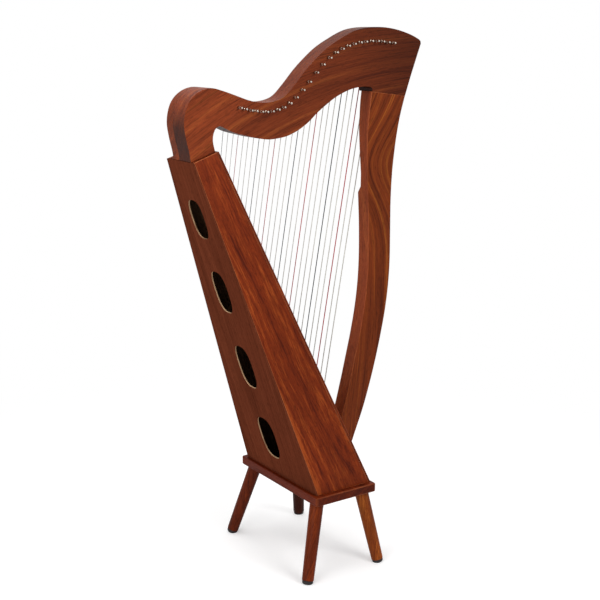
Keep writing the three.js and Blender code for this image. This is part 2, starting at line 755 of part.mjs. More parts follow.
const boardFace = inset(boardLine, -seatGap);
const neckFace = inset(jointLine, -seatGap);
const trimReach = pillarHeight / 2;
const trimNearY = pillarNearY - cutOverrun;
const behindBoard = plankXZ([
  pointOn(boardFace, -trimReach), pointOn(boardFace, trimReach),
  pointOn(boardFace, trimReach, trimReach), pointOn(boardFace, -trimReach, trimReach),
], trimNearY, -trimNearY);
const aboveJoint = plankXZ([
  pointOn(neckFace, -trimReach), pointOn(neckFace, trimReach),
  pointOn(neckFace, trimReach, trimReach), pointOn(neckFace, -trimReach, trimReach),
], trimNearY, -trimNearY);
const belowFoot = plankXZ([
  pointOn(footLine, -trimReach, -trimReach), pointOn(footLine, trimReach, -trimReach),
  pointOn(footLine, trimReach), pointOn(footLine, -trimReach),
], trimNearY, -trimNearY);

const pillarHead = jointInner[1] + cutOverrun;
const pillarTaper = plankYZ([
  [pillarNearY, plateTop], [pillarFarAt(plateTop), plateTop],
  [pillarFarAt(pillarHead), pillarHead], [pillarNearY, pillarHead],
], boxBackX - trimReach, jointOuter[0] + trimReach);
const pillarPlank = plankXZ([...pillarInner, ...pillarOuter].reverse(), pillarNearY, -pillarNearY);
const pillarBody = pillarPlank.intersect(pillarTaper);
const pillarTrimmed = pillarBody.subtract(behindBoard).subtract(aboveJoint).subtract(belowFoot);
const pillarPared = pillarTrimmed.subtract(pillarRelief());
addNode('pillar', pillarPared.add(pillarFootTenon(0)).add(pillarHeadTenon(0)), wood);

// Neck, seated on the soundbox, and its shoulder block, which thins towards the strings.
const shoulderLowY = neckFarY + seatGap;
const shoulderFarY = neckFarY + shoulderBlockThickness;
const blendSteps = 8;

function shoulderPlan() {
  const blend = Array.from({ length: blendSteps + 1 }, (_, i) => {
    const share = i / blendSteps;
    const x = neckStartX + shoulderBlendStart + (shoulderBlendEnd - shoulderBlendStart) * share;
    const ease = (1 + Math.cos(Math.PI * share)) / 2;
    return [x, shoulderLowY + shoulderBlockEdge + (shoulderFarY - shoulderLowY - shoulderBlockEdge) * ease];
  });
  const outline = [
    [neckStartX - cutOverrun, shoulderLowY], [neckStartX + shoulderBlendEnd, shoulderLowY],
    ...blend.reverse(), [neckStartX - cutOverrun, shoulderFarY],
  ];
  return plankXY(outline, topZ - neckRise, topZ + neckRise);
}

const seatFace = inset(topLine, -seatGap);
const belowSeat = plankXZ([
  pointOn(seatFace, -neckOverhang - cutOverrun, neckRise),
  pointOn(seatFace, topLength + cutOverrun, neckRise),
  pointOn(seatFace, topLength + cutOverrun),
  pointOn(seatFace, -neckOverhang - cutOverrun),
], -neckNearFace - cutOverrun, shoulderFarY + cutOverrun);

const shoulderBlock = plankXZ(neckOutline, shoulderLowY, shoulderFarY).intersect(shoulderPlan());
addNode('shoulder_block', shoulderBlock.subtract(belowSeat), wood);

const pinSides = 10;
const bridgeSides = 8;
const railSides = 6;

function pinBore({ pin }) {
  const from = vector(pin.x, -neckNearFace - cutOverrun, pin.z);
  const to = vector(pin.x, neckFarY + cutOverrun, pin.z);
  return rod(from, to, (pinRadius + boreClearance) / Math.cos(Math.PI / pinSides), pinSides);
}

function bridgePin({ bridge }, grow, farY) {
  const from = vector(bridge.x, neckFarY - bridgeDepth - grow, bridge.z);
  return rod(from, vector(bridge.x, farY, bridge.z), bridgeRadius + grow, bridgeSides);
}

// The bridge pins are one solid: a thin rail joins their roots inside the neck.
function bridgeRail(grow) {
  const half = bridgeRailWidth / 2 + grow;
  const edge = (side) => strings.map(({ bridge }, i) => {
    const before = strings[Math.max(i - 1, 0)].bridge;
    const after = strings[Math.min(i + 1, stringCount - 1)].bridge;
    const way = after.clone().sub(before).normalize();
    return [bridge.x - way.z * half * side, bridge.z + way.x * half * side];
  });
  const rootY = neckFarY - bridgeDepth;
  return plankXZ([...edge(-1), ...edge(1).reverse()], rootY - grow, rootY + bridgeRailWidth + grow);
}

function bridgePins(grow, farY) {
  return unionOf(strings.map((string) => bridgePin(string, grow, farY))).add(bridgeRail(grow));
}

const neckPlank = plankXZ(neckOutline, -neckNearFace, neckFarY);
const neckSeated = neckPlank.subtract(belowSeat).add(neckFootTenon(0)).subtract(pillarHeadTenon(seatGap));
const neckBored = neckSeated.subtract(unionOf(strings.map(pinBore)));
addNode('neck', neckBored.subtract(bridgePins(seatGap, neckFarY + cutOverrun)), wood);
addNode('bridge_pins', bridgePins(0, neckFarY + bridgeFarLength), nickel);

// Tuning pins: a round pin with a square head on the player's key side.
const headSides = 4;

function tuningPin({ pin, radius }) {
  const nearEnd = -neckNearFace - pinNearLength;
  const farEnd = neckFarY + pinFarLength;
  const shankStart = vector(pin.x, nearEnd + pinHeadLength, pin.z);
  const shank = rod(shankStart, vector(pin.x, farEnd, pin.z), pinRadius, pinSides);
  const headProfile = [
    [0, 0], [pinRadius - pinHeadTaper * 2, 0], [pinRadius - pinHeadTaper, pinHeadTaper * 2],
    [pinRadius, pinHeadLength + pinRadius], [0, pinHeadLength + pinRadius],
  ];
  const head = turned(headProfile, headSides, vector(pin.x, nearEnd, pin.z), vector(0, 1, 0));
  const eyeY = farEnd - pinEyeInset;
  const eye = rod(
    vector(pin.x - pinRadius * 2, eyeY, pin.z), vector(pin.x + pinRadius * 2, eyeY, pin.z),
    radius + boreClearance, railSides,
  );
  return shank.add(head).subtract(eye);
}

const tuningPins = new THREE.Group();
tuningPins.name = 'tuning_pins';
harp.add(tuningPins);
strings.forEach((string, index) => {
  addNode(`tuning_pin_${String(index + 1).padStart(2, '0')}`, tuningPin(string), nickel, tuningPins);
});

// Strings, one solid for each colour: a thin rail inside the soundbox joins its strings.
const stringSides = 6;
const sideRailDepth = anchorRailRadius * 2;
const stringColours = {
  natural: { color: 0xd8d5cc, offset: 0, depth: anchorRailDepth },
  red: { color: 0xb4172b, offset: anchorRailOffset, depth: sideRailDepth },
  black: { color: 0x24242a, offset: -anchorRailOffset, depth: sideRailDepth },
};

function stringGroup(colour) {
  const { offset, depth } = stringColours[colour];
  const own = strings.filter((string) => string.colour === colour);
  const anchorDepth = ribInnerDistance + seatGap + anchorRailRadius + depth;
  const anchors = own.map(({ along }) => pointOn(boardLine, along, anchorDepth));
  const lengths = own.map((string, i) => {
    const [x, z] = anchors[i];
    const knot = vector(x, 0, z);
    const length = wire([knot, string.exit, string.bend, string.end], string.radius, stringSides);
    return offset === 0 ? length : length.add(rod(knot, vector(x, offset, z), anchorRailRadius, railSides));
  });
  const [x0, z0] = anchors[0];
  const [x1, z1] = anchors[anchors.length - 1];
  const rail = rod(vector(x0, offset, z0), vector(x1, offset, z1), anchorRailRadius, railSides);
  return unionOf(lengths).add(rail);
}

for (const [colour, { color }] of Object.entries(stringColours)) {
  addNode(`strings_${colour}`, stringGroup(colour), { color, roughness: 0.3, metalness: 0 });
}

// The origin lies on the floor, under the middle of the harp's length.
const reach = new THREE.Box3().setFromObject(harp);
harp.position.x = -(reach.min.x + reach.max.x) / 2;

export default harp;
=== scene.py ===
# A floor harp on four splayed legs, finished round its solid model. Metres, +Z up: X runs
# from the player to the pillar, and +Y is the side of the neck that carries the strings.
import json
import math

import bmesh
import bpy
from mathutils import Matrix, Vector


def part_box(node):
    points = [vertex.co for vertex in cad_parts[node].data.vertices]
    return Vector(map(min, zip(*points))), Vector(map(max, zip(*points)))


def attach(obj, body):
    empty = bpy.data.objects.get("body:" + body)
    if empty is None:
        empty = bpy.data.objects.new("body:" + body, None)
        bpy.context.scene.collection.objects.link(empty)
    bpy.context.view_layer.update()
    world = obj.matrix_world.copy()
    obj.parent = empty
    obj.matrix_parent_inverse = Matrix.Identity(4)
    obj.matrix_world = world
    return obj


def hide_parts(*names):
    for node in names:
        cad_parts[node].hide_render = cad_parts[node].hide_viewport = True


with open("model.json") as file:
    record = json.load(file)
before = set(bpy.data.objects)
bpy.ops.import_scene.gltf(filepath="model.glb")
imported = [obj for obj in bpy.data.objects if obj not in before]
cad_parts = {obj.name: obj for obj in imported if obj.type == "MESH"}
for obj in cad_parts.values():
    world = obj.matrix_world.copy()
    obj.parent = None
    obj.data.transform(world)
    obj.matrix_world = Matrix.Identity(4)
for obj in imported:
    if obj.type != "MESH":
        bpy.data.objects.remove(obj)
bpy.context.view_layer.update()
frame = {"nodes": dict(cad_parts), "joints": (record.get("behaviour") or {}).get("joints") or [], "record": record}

# Camera: at the player's right shoulder, looking down on the harp. Its place and turn are
# the photograph's, worked out from the corners of the soundbox and of the stand.
CAMERA_PLACE = (-1.4415, -2.1136, 1.2336)
CAMERA_YAW = math.radians(34.33)
CAMERA_PITCH = math.radians(13.36)
CAMERA_ROLL = math.radians(0.28)
CAMERA_LENS = 67.73
CAMERA_FILM = 36
CAMERA_SHIFT = 0.004

camera_data = bpy.data.cameras.new("camera")
camera_data.lens = CAMERA_LENS
camera_data.sensor_width = CAMERA_FILM
camera_data.shift_x = CAMERA_SHIFT
camera = bpy.data.objects.new("camera", camera_data)
bpy.context.scene.collection.objects.link(camera)
camera.matrix_world = (
    Matrix.Translation(CAMERA_PLACE)
    @ Matrix.Rotation(-CAMERA_YAW, 4, "Z")
    @ Matrix.Rotation(math.pi / 2 - CAMERA_PITCH, 4, "X")
    @ Matrix.Rotation(CAMERA_ROLL, 4, "Z")
)
bpy.context.scene.camera = camera
bpy.context.scene.view_settings.view_transform = "Standard"


# Studio: a pale floor that keeps the harp's shadow, three soft lamps and a white surround.
# The surround is white to the eye and in reflections, and dimmer as light on the harp.
SURROUND_LIGHT = 0.5
FLOOR_SPAN = 14
FLOOR_PAINT = (0.82, 0.82, 0.82, 1)
NEAR_GLOW = 0.3
WHITE_STARTS = 0.4
WHITE_FROM = 1.5
LAMPS = (
    ("key_lamp", (0.7, -3.0, 2.5), 1.6, 56),
    ("fill_lamp", (-3.0, -1.2, 1.6), 2.0, 46),
    ("top_lamp", (-0.4, 0.6, 3.2), 2.4, 36),
)
LAMPS_AIM = Vector((0, 0, 0.62))


def add(tree, kind, feeds=(), **settings):
    """Adds a node to a tree and feeds its sockets with values or with other nodes' outputs."""
    made = tree.nodes.new(kind)
    for name, value in settings.items():
        setattr(made, name, value)
    for socket, feed in dict(feeds).items():
        if isinstance(feed, bpy.types.NodeSocket):
            tree.links.new(feed, made.inputs[socket])
        else:
            made.inputs[socket].default_value = feed
    return made.outputs


def math_of(tree, operation, a, b=0.0, c=0.0):
    return add(tree, "ShaderNodeMath", {0: a, 1: b, 2: c}, operation=operation)[0]


def seen_or_mirrored(tree):
    """1 where a ray comes straight from the camera, or by way of a mirror or glass."""
    rays = add(tree, "ShaderNodeLightPath")
    seen = math_of(tree, "MAXIMUM", rays["Is Camera Ray"], rays["Is Glossy Ray"])
    return math_of(tree, "MAXIMUM", seen, rays["Is Transmission Ray"])


def surround_light(tree, seen):
    return add(tree, "ShaderNodeMapRange", {
        "Value": seen, "To Min": SURROUND_LIGHT, "To Max": 1.0})[0]


world = bpy.data.worlds.new("surround")
bpy.context.scene.world = world
world.use_nodes = True
world.node_tree.nodes.clear()
brightness = surround_light(world.node_tree, seen_or_mirrored(world.node_tree))
surround = add(
    world.node_tree, "ShaderNodeBackground", {"Color": (1, 1, 1, 1), "Strength": brightness})
add(world.node_tree, "ShaderNodeOutputWorld", {"Surface": surround[0]})

floor_mesh = bpy.data.meshes.new("floor")
half = FLOOR_SPAN / 2
floor_corners = [(-half, -half, 0), (half, -half, 0), (half, half, 0), (-half, half, 0)]
floor_mesh.from_pydata(floor_corners, [], [(0, 1, 2, 3)])
floor = bpy.data.objects.new("floor", floor_mesh)
bpy.context.scene.collection.objects.link(floor)
floor_paint = bpy.data.materials.new("floor_paint")
floor_paint.use_nodes = True
floor_tree = floor_paint.node_tree
floor_tree.nodes.clear()
seen = seen_or_mirrored(floor_tree)
paint = add(floor_tree, "ShaderNodeBsdfDiffuse", {"Color": FLOOR_PAINT})
glow = add(floor_tree, "ShaderNodeEmission", {
    "Strength": math_of(floor_tree, "MULTIPLY", seen, NEAR_GLOW)})
near_floor = add(floor_tree, "ShaderNodeAddShader", {0: paint[0], 1: glow[0]})
far_floor = add(floor_tree, "ShaderNodeEmission", {
    "Strength": surround_light(floor_tree, seen)})
floor_place = add(floor_tree, "ShaderNodeTexCoord")["Object"]
floor_reach = add(floor_tree, "ShaderNodeVectorMath", {0: floor_place}, operation="LENGTH")["Value"]
white_share = add(floor_tree, "ShaderNodeMapRange", {
    "Value": floor_reach, "From Min": WHITE_STARTS, "From Max": WHITE_FROM,
}, interpolation_type="SMOOTHSTEP")[0]
floor_surface = add(floor_tree, "ShaderNodeMixShader", {
    0: white_share, 1: near_floor[0], 2: far_floor[0]})
add(floor_tree, "ShaderNodeOutputMaterial", {"Surface": floor_surface[0]})
floor_mesh.materials.append(floor_paint)

for lamp_name, place, size, power in LAMPS:
    lamp_data = bpy.data.lights.new(lamp_name, "AREA")
    lamp_data.size = size
    lamp_data.energy = power
    lamp = bpy.data.objects.new(lamp_name, lamp_data)
    lamp.location = place
    lamp.rotation_mode = "QUATERNION"
    lamp.rotation_quaternion = (LAMPS_AIM - Vector(place)).to_track_quat("-Z", "Y")
    bpy.context.scene.collection.objects.link(lamp)


# Side panels: two long tapered boards of streaky rosewood between the back and the
# soundboard, planed, eased at the arrises and finished with a satin lacquer.
SIDE_ARRIS = 0.0011
SIDE_GRAIN_TURN = 111.2
SIDE_BAND = 0.05
# Arrises within this reach of a side panel's top are painted paler still: a painted highlight along the top edges.
TOP_HIGHLIGHT_REACH = 0.05
TOP_ARRIS_HIGHLIGHT = 1.5
WELD = 1e-5
FLAT_ANGLE = math.radians(0.6)
ARRIS_ANGLE = math.radians(32)
ARRIS_STEPS = 3
ARRIS_ROUND = 0.5
CREASE_ANGLE = math.radians(40)
FACE_WEIGHT = 100
SQUARE_ON = 0.9
BOX_FOOT = (0, 0, 0.2)


def tint(red, green, blue):
    """A colour as the eye reads it on a screen, 0 to 255, as the shaders need it."""
    def linear(value):
        share = value / 255
        return share / 12.92 if share <= 0.04045 else ((share + 0.055) / 1.055) ** 2.4
    return (linear(red), linear(green), linear(blue), 1)


def new_group(name, kind, inputs, outputs):
    """An empty node group with its sockets, and its input and output nodes."""
    tree = bpy.data.node_groups.new(name, kind)
    for direction, sockets in (("INPUT", inputs), ("OUTPUT", outputs)):
        for socket_name, socket_kind, value in sockets:
            socket = tree.interface.new_socket(
                socket_name, in_out=direction, socket_type=socket_kind)
            if value is not None:
                socket.default_value = value
    return tree, add(tree, "NodeGroupInput"), tree.nodes.new("NodeGroupOutput").inputs


def noise_of(tree, vector, stretch, detail=2.0, roughness=0.55):
    """Noise drawn out along the grain: stretch is its repeats to the metre, each way."""
    drawn = add(tree, "ShaderNodeVectorMath", {0: vector, 1: stretch}, operation="MULTIPLY")[0]
    feeds = {"Vector": drawn, "Scale": 1.0, "Detail": detail, "Roughness": roughness}
    return add(tree, "ShaderNodeTexNoise", feeds)[0]


def ramp_of(tree, value, low, high, to_low=0.0, to_high=1.0):
    feeds = {"Value": value, "From Min": low, "From Max": high, "To Min": to_low, "To Max": to_high}
    return add(tree, "ShaderNodeMapRange", feeds, interpolation_type="SMOOTHSTEP")[0]


def blend_of(tree, share, one, other):
    mixed = add(tree, "ShaderNodeMix", {0: share, 6: one, 7: other}, data_type="RGBA")
    return mixed[2]


def new_material(name):
    material = bpy.data.materials.new(name)
    material.use_nodes = True
    tree = material.node_tree
    return material, tree, tree.nodes["Principled BSDF"], add(tree, "ShaderNodeTexCoord")


# The figure's repeats to the metre, along the grain and across it, and its marks' shares.
DRIFT_REPEATS = (2.6, 8, 8)
STREAK_REPEATS = (1.5, 190, 190)
RIBBON_REPEATS = (1.2, 50, 50)
PATCH_REPEATS = (3, 14, 14)
FIBRE_REPEATS = (16, 520, 520)
PORE_REPEATS = (75, 900, 900)
VEIN_REPEATS = (7, 300, 300)
RING_SHARE = 0.44
STREAK_SHARE = 0.34
RIBBON_SHARE = 0.22
STREAK_WANDER = 0.6
SWERVE_REACH = 0.12
PATCH_LIGHT = (0.86, 1.1)
FIBRE_LIGHT = (0.88, 1.1)
PORE_LIGHT = -0.3
PORE_EDGES = (0.6, 0.7)
VEIN_EDGES = (0.54, 0.68)
END_FACING = 0.55
DEEPEST = 0.2
FIBRE_ROUGHNESS = (0.36, 0.48)
PORE_ROUGHNESS = 0.15
FIBRE_HEIGHT = 0.35


def timber_group():
    """Rosewood's figure: growth rings about the tree's heart, cut through by the board."""
    tree, given, result = new_group("timber_figure", "ShaderNodeTree", (
        ("Along Grain", "NodeSocketVector", None),
        ("Facing", "NodeSocketVector", None),
        ("Heart", "NodeSocketVector", None),
        ("Bow", "NodeSocketFloat", 0.0),
        ("Swerve", "NodeSocketFloat", 0.0),
        ("Fan", "NodeSocketFloat", 0.0),
        ("Ring Spacing", "NodeSocketFloat", 0.012),
        ("Wander", "NodeSocketFloat", 0.006),
        ("Contrast", "NodeSocketFloat", 0.5),
        ("Band", "NodeSocketFloat", 0.0),
        ("Band Width", "NodeSocketFloat", 0.03),
        ("Band Light", "NodeSocketFloat", 0.0),
        ("Deepen", "NodeSocketFloat", 0.0),
        ("Pale", "NodeSocketColor", None),
        ("Base", "NodeSocketColor", None),
        ("Dark", "NodeSocketColor", None),
        ("End Grain", "NodeSocketFloat", 0.35),
        ("Veins", "NodeSocketFloat", -0.3),
    ), (
        ("Color", "NodeSocketColor", None),
        ("Roughness", "NodeSocketFloat", None),
        ("Height", "NodeSocketFloat", None),
    ))
    parts = add(tree, "ShaderNodeSeparateXYZ", {0: given["Along Grain"]})
    heart = add(tree, "ShaderNodeSeparateXYZ", {0: given["Heart"]})
    bend = math_of(tree, "MULTIPLY", parts["X"], math_of(tree, "ABSOLUTE", parts["X"]))
    across = math_of(tree, "MULTIPLY_ADD", given["Bow"], bend, parts["Z"])
    squared = math_of(tree, "MULTIPLY", parts["X"], parts["X"])
    swerved = math_of(tree, "DIVIDE", squared, math_of(tree, "ADD", squared, SWERVE_REACH ** 2))
    across = math_of(tree, "MULTIPLY_ADD", given["Swerve"], swerved, across)
    fanned = math_of(tree, "MULTIPLY_ADD", given["Fan"], parts["X"], 1.0)
    across = math_of(tree, "DIVIDE", across, fanned)
    bent_place = add(tree, "ShaderNodeCombineXYZ", {0: parts["X"], 1: parts["Y"], 2: across})[0]
    drift = math_of(tree, "SUBTRACT", noise_of(tree, bent_place, DRIFT_REPEATS), 0.5)
    sideways = math_of(tree, "SUBTRACT", across, heart["Z"])
    deep = math_of(tree, "SUBTRACT", parts["Y"], heart["Y"])
    from_heart = math_of(
        tree, "ADD", math_of(tree, "MULTIPLY", sideways, sideways),
        math_of(tree, "MULTIPLY", deep, deep))
    from_heart = math_of(tree, "SQRT", from_heart)
    radius = math_of(tree, "MULTIPLY_ADD", drift, given["Wander"], from_heart)
    rings = add(tree, "ShaderNodeTexNoise", {
        "W": math_of(tree, "DIVIDE", radius, given["Ring Spacing"]), "Scale": 1.0, "Detail": 4.0,
        "Roughness": 0.6}, noise_dimensions="1D")[0]
    streak_wander = math_of(tree, "MULTIPLY", given["Wander"], STREAK_WANDER)
    waved = math_of(tree, "MULTIPLY_ADD", drift, streak_wander, across)
    waved_place = add(tree, "ShaderNodeCombineXYZ", {0: parts["X"], 1: parts["Y"], 2: waved})[0]
    streaks = noise_of(tree, waved_place, STREAK_REPEATS, 2.0, 0.6)
    ribbons = noise_of(tree, waved_place, RIBBON_REPEATS, 1.0)
    tone = math_of(tree, "MULTIPLY", rings, RING_SHARE)
    tone = math_of(tree, "MULTIPLY_ADD", streaks, STREAK_SHARE, tone)
    tone = math_of(tree, "MULTIPLY_ADD", ribbons, RIBBON_SHARE, tone)
    beside = math_of(tree, "ABSOLUTE", math_of(tree, "SUBTRACT", waved, given["Band"]))
    band = ramp_of(tree, beside, 0.0, given["Band Width"], 1.0, 0.0)
    tone = math_of(tree, "MULTIPLY_ADD", band, given["Band Light"], tone)
    low = math_of(tree, "MULTIPLY_ADD", given["Contrast"], 0.3, 0.1)
    tone = ramp_of(tree, tone, low, math_of(tree, "SUBTRACT", 1.0, low))
    colour = blend_of(tree, ramp_of(tree, tone, 0.0, 0.5), given["Dark"], given["Base"])
    colour = blend_of(tree, ramp_of(tree, tone, 0.5, 1.0), colour, given["Pale"])
    patches = noise_of(tree, bent_place, PATCH_REPEATS)
    fibres = noise_of(tree, waved_place, FIBRE_REPEATS)
    pores = ramp_of(tree, noise_of(tree, waved_place, PORE_REPEATS, 0.0), *PORE_EDGES)
    veins = ramp_of(tree, noise_of(tree, waved_place, VEIN_REPEATS, 1.0), *VEIN_EDGES)
    light = ramp_of(tree, patches, 0.3, 0.7, *PATCH_LIGHT)
    deepened = math_of(tree, "MULTIPLY_ADD", given["Deepen"], parts["X"], 1.0)
    for shaded in (
        ramp_of(tree, fibres, 0.25, 0.75, *FIBRE_LIGHT),
        math_of(tree, "MULTIPLY_ADD", pores, PORE_LIGHT, 1.0),
        math_of(tree, "MULTIPLY_ADD", veins, given["Veins"], 1.0),
        math_of(tree, "MAXIMUM", deepened, DEEPEST),
    ):
        light = math_of(tree, "MULTIPLY", light, shaded)
    facing = add(tree, "ShaderNodeSeparateXYZ", {0: given["Facing"]})["X"]
    facing = math_of(tree, "ABSOLUTE", facing)
    on_end = math_of(tree, "MULTIPLY", ramp_of(tree, facing, END_FACING, 1.0), given["End Grain"])
    light = math_of(tree, "MULTIPLY", light, math_of(tree, "SUBTRACT", 1.0, on_end))
    shade = add(tree, "ShaderNodeVectorMath", {0: colour, "Scale": light}, operation="SCALE")[0]
    tree.links.new(shade, result["Color"])
    rough = ramp_of(tree, fibres, 0.2, 0.8, *FIBRE_ROUGHNESS)
    rough = math_of(tree, "MULTIPLY_ADD", pores, PORE_ROUGHNESS, rough)
    tree.links.new(rough, result["Roughness"])
    height = math_of(tree, "SUBTRACT", math_of(tree, "MULTIPLY", fibres, FIBRE_HEIGHT), pores)
    tree.links.new(height, result["Height"])
    return tree


ARRIS_PATCH_REPEATS = (14, 14, 14)
ARRIS_PATCH_SHARES = (0.25, 1.0)


def arris_wear_and_highlight_group():
    """Arrises painted pale, more in some places than in others: partly rubbed wear, partly painted highlight."""
    tree, given, result = new_group("worn_arris", "ShaderNodeTree", (
        ("Color", "NodeSocketColor", None),
        ("Arris", "NodeSocketFloat", 0.0),
        ("Rubbed", "NodeSocketColor", None),
        ("Wear", "NodeSocketFloat", 0.5),
        ("Place", "NodeSocketVector", None),
    ), (("Color", "NodeSocketColor", None),))
    patch = noise_of(tree, given["Place"], ARRIS_PATCH_REPEATS, 3.0)
    share = ramp_of(tree, patch, 0.3, 0.68, *ARRIS_PATCH_SHARES)
    share = math_of(tree, "MULTIPLY", share, given["Wear"])
    share = math_of(tree, "MULTIPLY", share, given["Arris"])
    tree.links.new(blend_of(tree, share, given["Color"], given["Rubbed"]), result["Color"])
    return tree


timber_figure = timber_group()
worn_arris = arris_wear_and_highlight_group()
PORE_BUMP = 0.25
PORE_DEPTH = 0.0002
LACQUER_ROUGHNESS = 0.28


def lacquered(name, turn, pale, base, dark, heart=(0.1, 0.1), origin=(0, 0, 0), axis=1,
              bow=0.0, swerve=0.0, fan=0.0, spacing=0.012, wander=0.012, contrast=0.5,
              band=0.0, band_width=0.03, band_light=0.0, deepen=0.0, end_grain=0.35,
              veins=-0.3, wear=0.5, rubbed=tint(172, 96, 58), gloss=0.03, specular=0.05):
    """Lacquered wood, its grain turned about one axis (Y unless told) from +X, at an origin."""
    material, tree, shader, place = new_material(name)
    rotation = [0, 0, 0]
    rotation[axis] = -math.radians(turn)
    along = add(tree, "ShaderNodeMapping", {
        "Vector": place["Object"], "Location": origin, "Rotation": rotation,
    }, vector_type="TEXTURE")[0]
    facing = add(tree, "ShaderNodeMapping", {
        "Vector": place["Normal"], "Rotation": rotation}, vector_type="TEXTURE")[0]
    figure = tree.nodes.new("ShaderNodeGroup")
    figure.node_tree = timber_figure
    for socket, value in {
        "Heart": (0, *heart), "Bow": bow, "Swerve": swerve, "Fan": fan, "Ring Spacing": spacing,
        "Wander": wander, "Contrast": contrast, "Band": band, "Band Width": band_width,
        "Band Light": band_light, "Deepen": deepen, "Pale": pale, "Base": base, "Dark": dark,
        "End Grain": end_grain, "Veins": veins,
    }.items():
        figure.inputs[socket].default_value = value
    tree.links.new(along, figure.inputs["Along Grain"])
    tree.links.new(facing, figure.inputs["Facing"])
    # The arrises are painted pale: partly rubbed wear, partly a painted highlight.
    arris_paint = tree.nodes.new("ShaderNodeGroup")
    arris_paint.node_tree = worn_arris
    arris_paint.inputs["Rubbed"].default_value = rubbed
    arris_paint.inputs["Wear"].default_value = wear
    tree.links.new(place["Object"], arris_paint.inputs["Place"])
    arris = add(tree, "ShaderNodeAttribute", attribute_name="arris")["Fac"]
    tree.links.new(arris, arris_paint.inputs["Arris"])
    tree.links.new(figure.outputs["Color"], arris_paint.inputs["Color"])
    tree.links.new(arris_paint.outputs["Color"], shader.inputs["Base Color"])
    tree.links.new(figure.outputs["Roughness"], shader.inputs["Roughness"])
    bump = add(tree, "ShaderNodeBump", {
        "Height": figure.outputs["Height"], "Strength": PORE_BUMP, "Distance": PORE_DEPTH})
    tree.links.new(bump["Normal"], shader.inputs["Normal"])
    shader.inputs["Specular IOR Level"].default_value = specular
    shader.inputs["Coat Weight"].default_value = gloss
    shader.inputs["Coat Roughness"].default_value = LACQUER_ROUGHNESS
    return material


def welded(node):
    """A copy of a solid with whole faces, and the layer that marks its arrises for the pale paint of wear and
    painted highlight.
    """
    shape = bmesh.new()
    shape.from_mesh(frame["nodes"][node].data)
    bmesh.ops.remove_doubles(shape, verts=shape.verts, dist=WELD)
    bmesh.ops.dissolve_limit(shape, angle_limit=FLAT_ANGLE, verts=shape.verts, edges=shape.edges)
    return shape, shape.faces.layers.float.new("arris")


def planed(node, arris, spare=None):
    """A welded copy of a solid with its arrises rounded over. spare says which edges stay."""
    shape, marked = welded(node)
    edges = [
        edge for edge in shape.edges
        if len(edge.link_faces) == 2 and edge.calc_face_angle() > ARRIS_ANGLE
        and not (spare and spare(edge))
    ]
    rounded = bmesh.ops.bevel(
        shape, geom=edges, offset=arris, offset_type="OFFSET", segments=ARRIS_STEPS,
        profile=ARRIS_ROUND, affect="EDGES", clamp_overlap=True,
    )
    for face in rounded["faces"]:
        face[marked] = 1.0
    return shape


def finish_piece(name, node, shape, materials):
    """Makes a mesh into a piece of the harp's frame, in its finish, in place of a solid."""
    mesh = bpy.data.meshes.new(name)
    shape.to_mesh(mesh)
    shape.free()
    for material in materials:
        mesh.materials.append(material)
    mesh.shade_smooth()
    mesh.set_sharp_from_angle(angle=CREASE_ANGLE)
    piece = bpy.data.objects.new(name, mesh)
    bpy.context.scene.collection.objects.link(piece)
    evened = piece.modifiers.new("even_normals", "WEIGHTED_NORMAL")
    evened.keep_sharp = True
    evened.weight = FACE_WEIGHT
    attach(piece, "frame")
    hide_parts(node)


side_wood = lacquered(
    "side_rosewood", SIDE_GRAIN_TURN, heart=(-0.05, -0.13), origin=BOX_FOOT,
    pale=tint(144, 64, 24), base=tint(110, 40, 13), dark=tint(76, 23, 8),
    fan=-0.35, spacing=0.02, wander=0.05, contrast=0.62, band=SIDE_BAND, band_width=0.034,
    band_light=0.3, deepen=0.26, veins=-0.2, wear=0.8,
)
bare_wood = lacquered(
    "bare_rosewood", SIDE_GRAIN_TURN, heart=(0.3, 0.2),
    pale=tint(126, 98, 76), base=tint(102, 77, 58), dark=tint(78, 57, 42), spacing=0.02,
    wander=0.02, wear=0.0, gloss=0.0, specular=0.0,
)


def bare_inside(shape, outward):
    """Leaves a board's inner face bare: the second of its finishes."""
    for face in shape.faces:
        face.material_index = 1 if face.normal.dot(outward) < -SQUARE_ON else 0
    return shape


def paint_top_arris_highlight(shape, level):
    """Paints the arrises paler above a level: a painted highlight along the top edges, over their wear."""
    marked = shape.faces.layers.float["arris"]
    for face in shape.faces:
        if face[marked] == 1.0 and face.calc_center_median().z > level:
            face[marked] = TOP_ARRIS_HIGHLIGHT


for side, outward in (("right", Vector((0, -1, 0))), ("left", Vector((0, 1, 0)))):
    node = f"side_panel_{side}"
    panel = bare_inside(planed(node, SIDE_ARRIS), outward)
    paint_top_arris_highlight(panel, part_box(node)[1].z - TOP_HIGHLIGHT_REACH)
    finish_piece(f"side_{side}", node, panel, [side_wood, bare_wood])


# Soundboard: a thin board of quieter rosewood across the front, lacquered, drilled down the
# middle for the strings. It shows as a fine line along the near front edge of the box.
BOARD_ARRIS = 0.0011
BOARD_LEAN = math.radians(23.85)
BOARD_GRAIN_TURN = 113.8
SMALL_EDGE = 0.03
MIDDLE_STRIP = 0.05


def near_middle(edge):
    """Edges of the small holes and mortises down the middle of a board."""
    middle = (edge.verts[0].co + edge.verts[1].co) / 2
    return edge.calc_length() < SMALL_EDGE and abs(middle.y) < MIDDLE_STRIP


board_wood = lacquered(
    "board_rosewood", BOARD_GRAIN_TURN, heart=(0.3, -0.2),
    pale=tint(124, 50, 16), base=tint(97, 34, 11), dark=tint(71, 22, 8), spacing=0.02, wander=0.03,
)
board_out = Vector((math.cos(BOARD_LEAN), 0, math.sin(BOARD_LEAN)))
board = bare_inside(planed("soundboard", BOARD_ARRIS, near_middle), board_out)
finish_piece("soundboard_face", "soundboard", board, [board_wood, bare_wood])


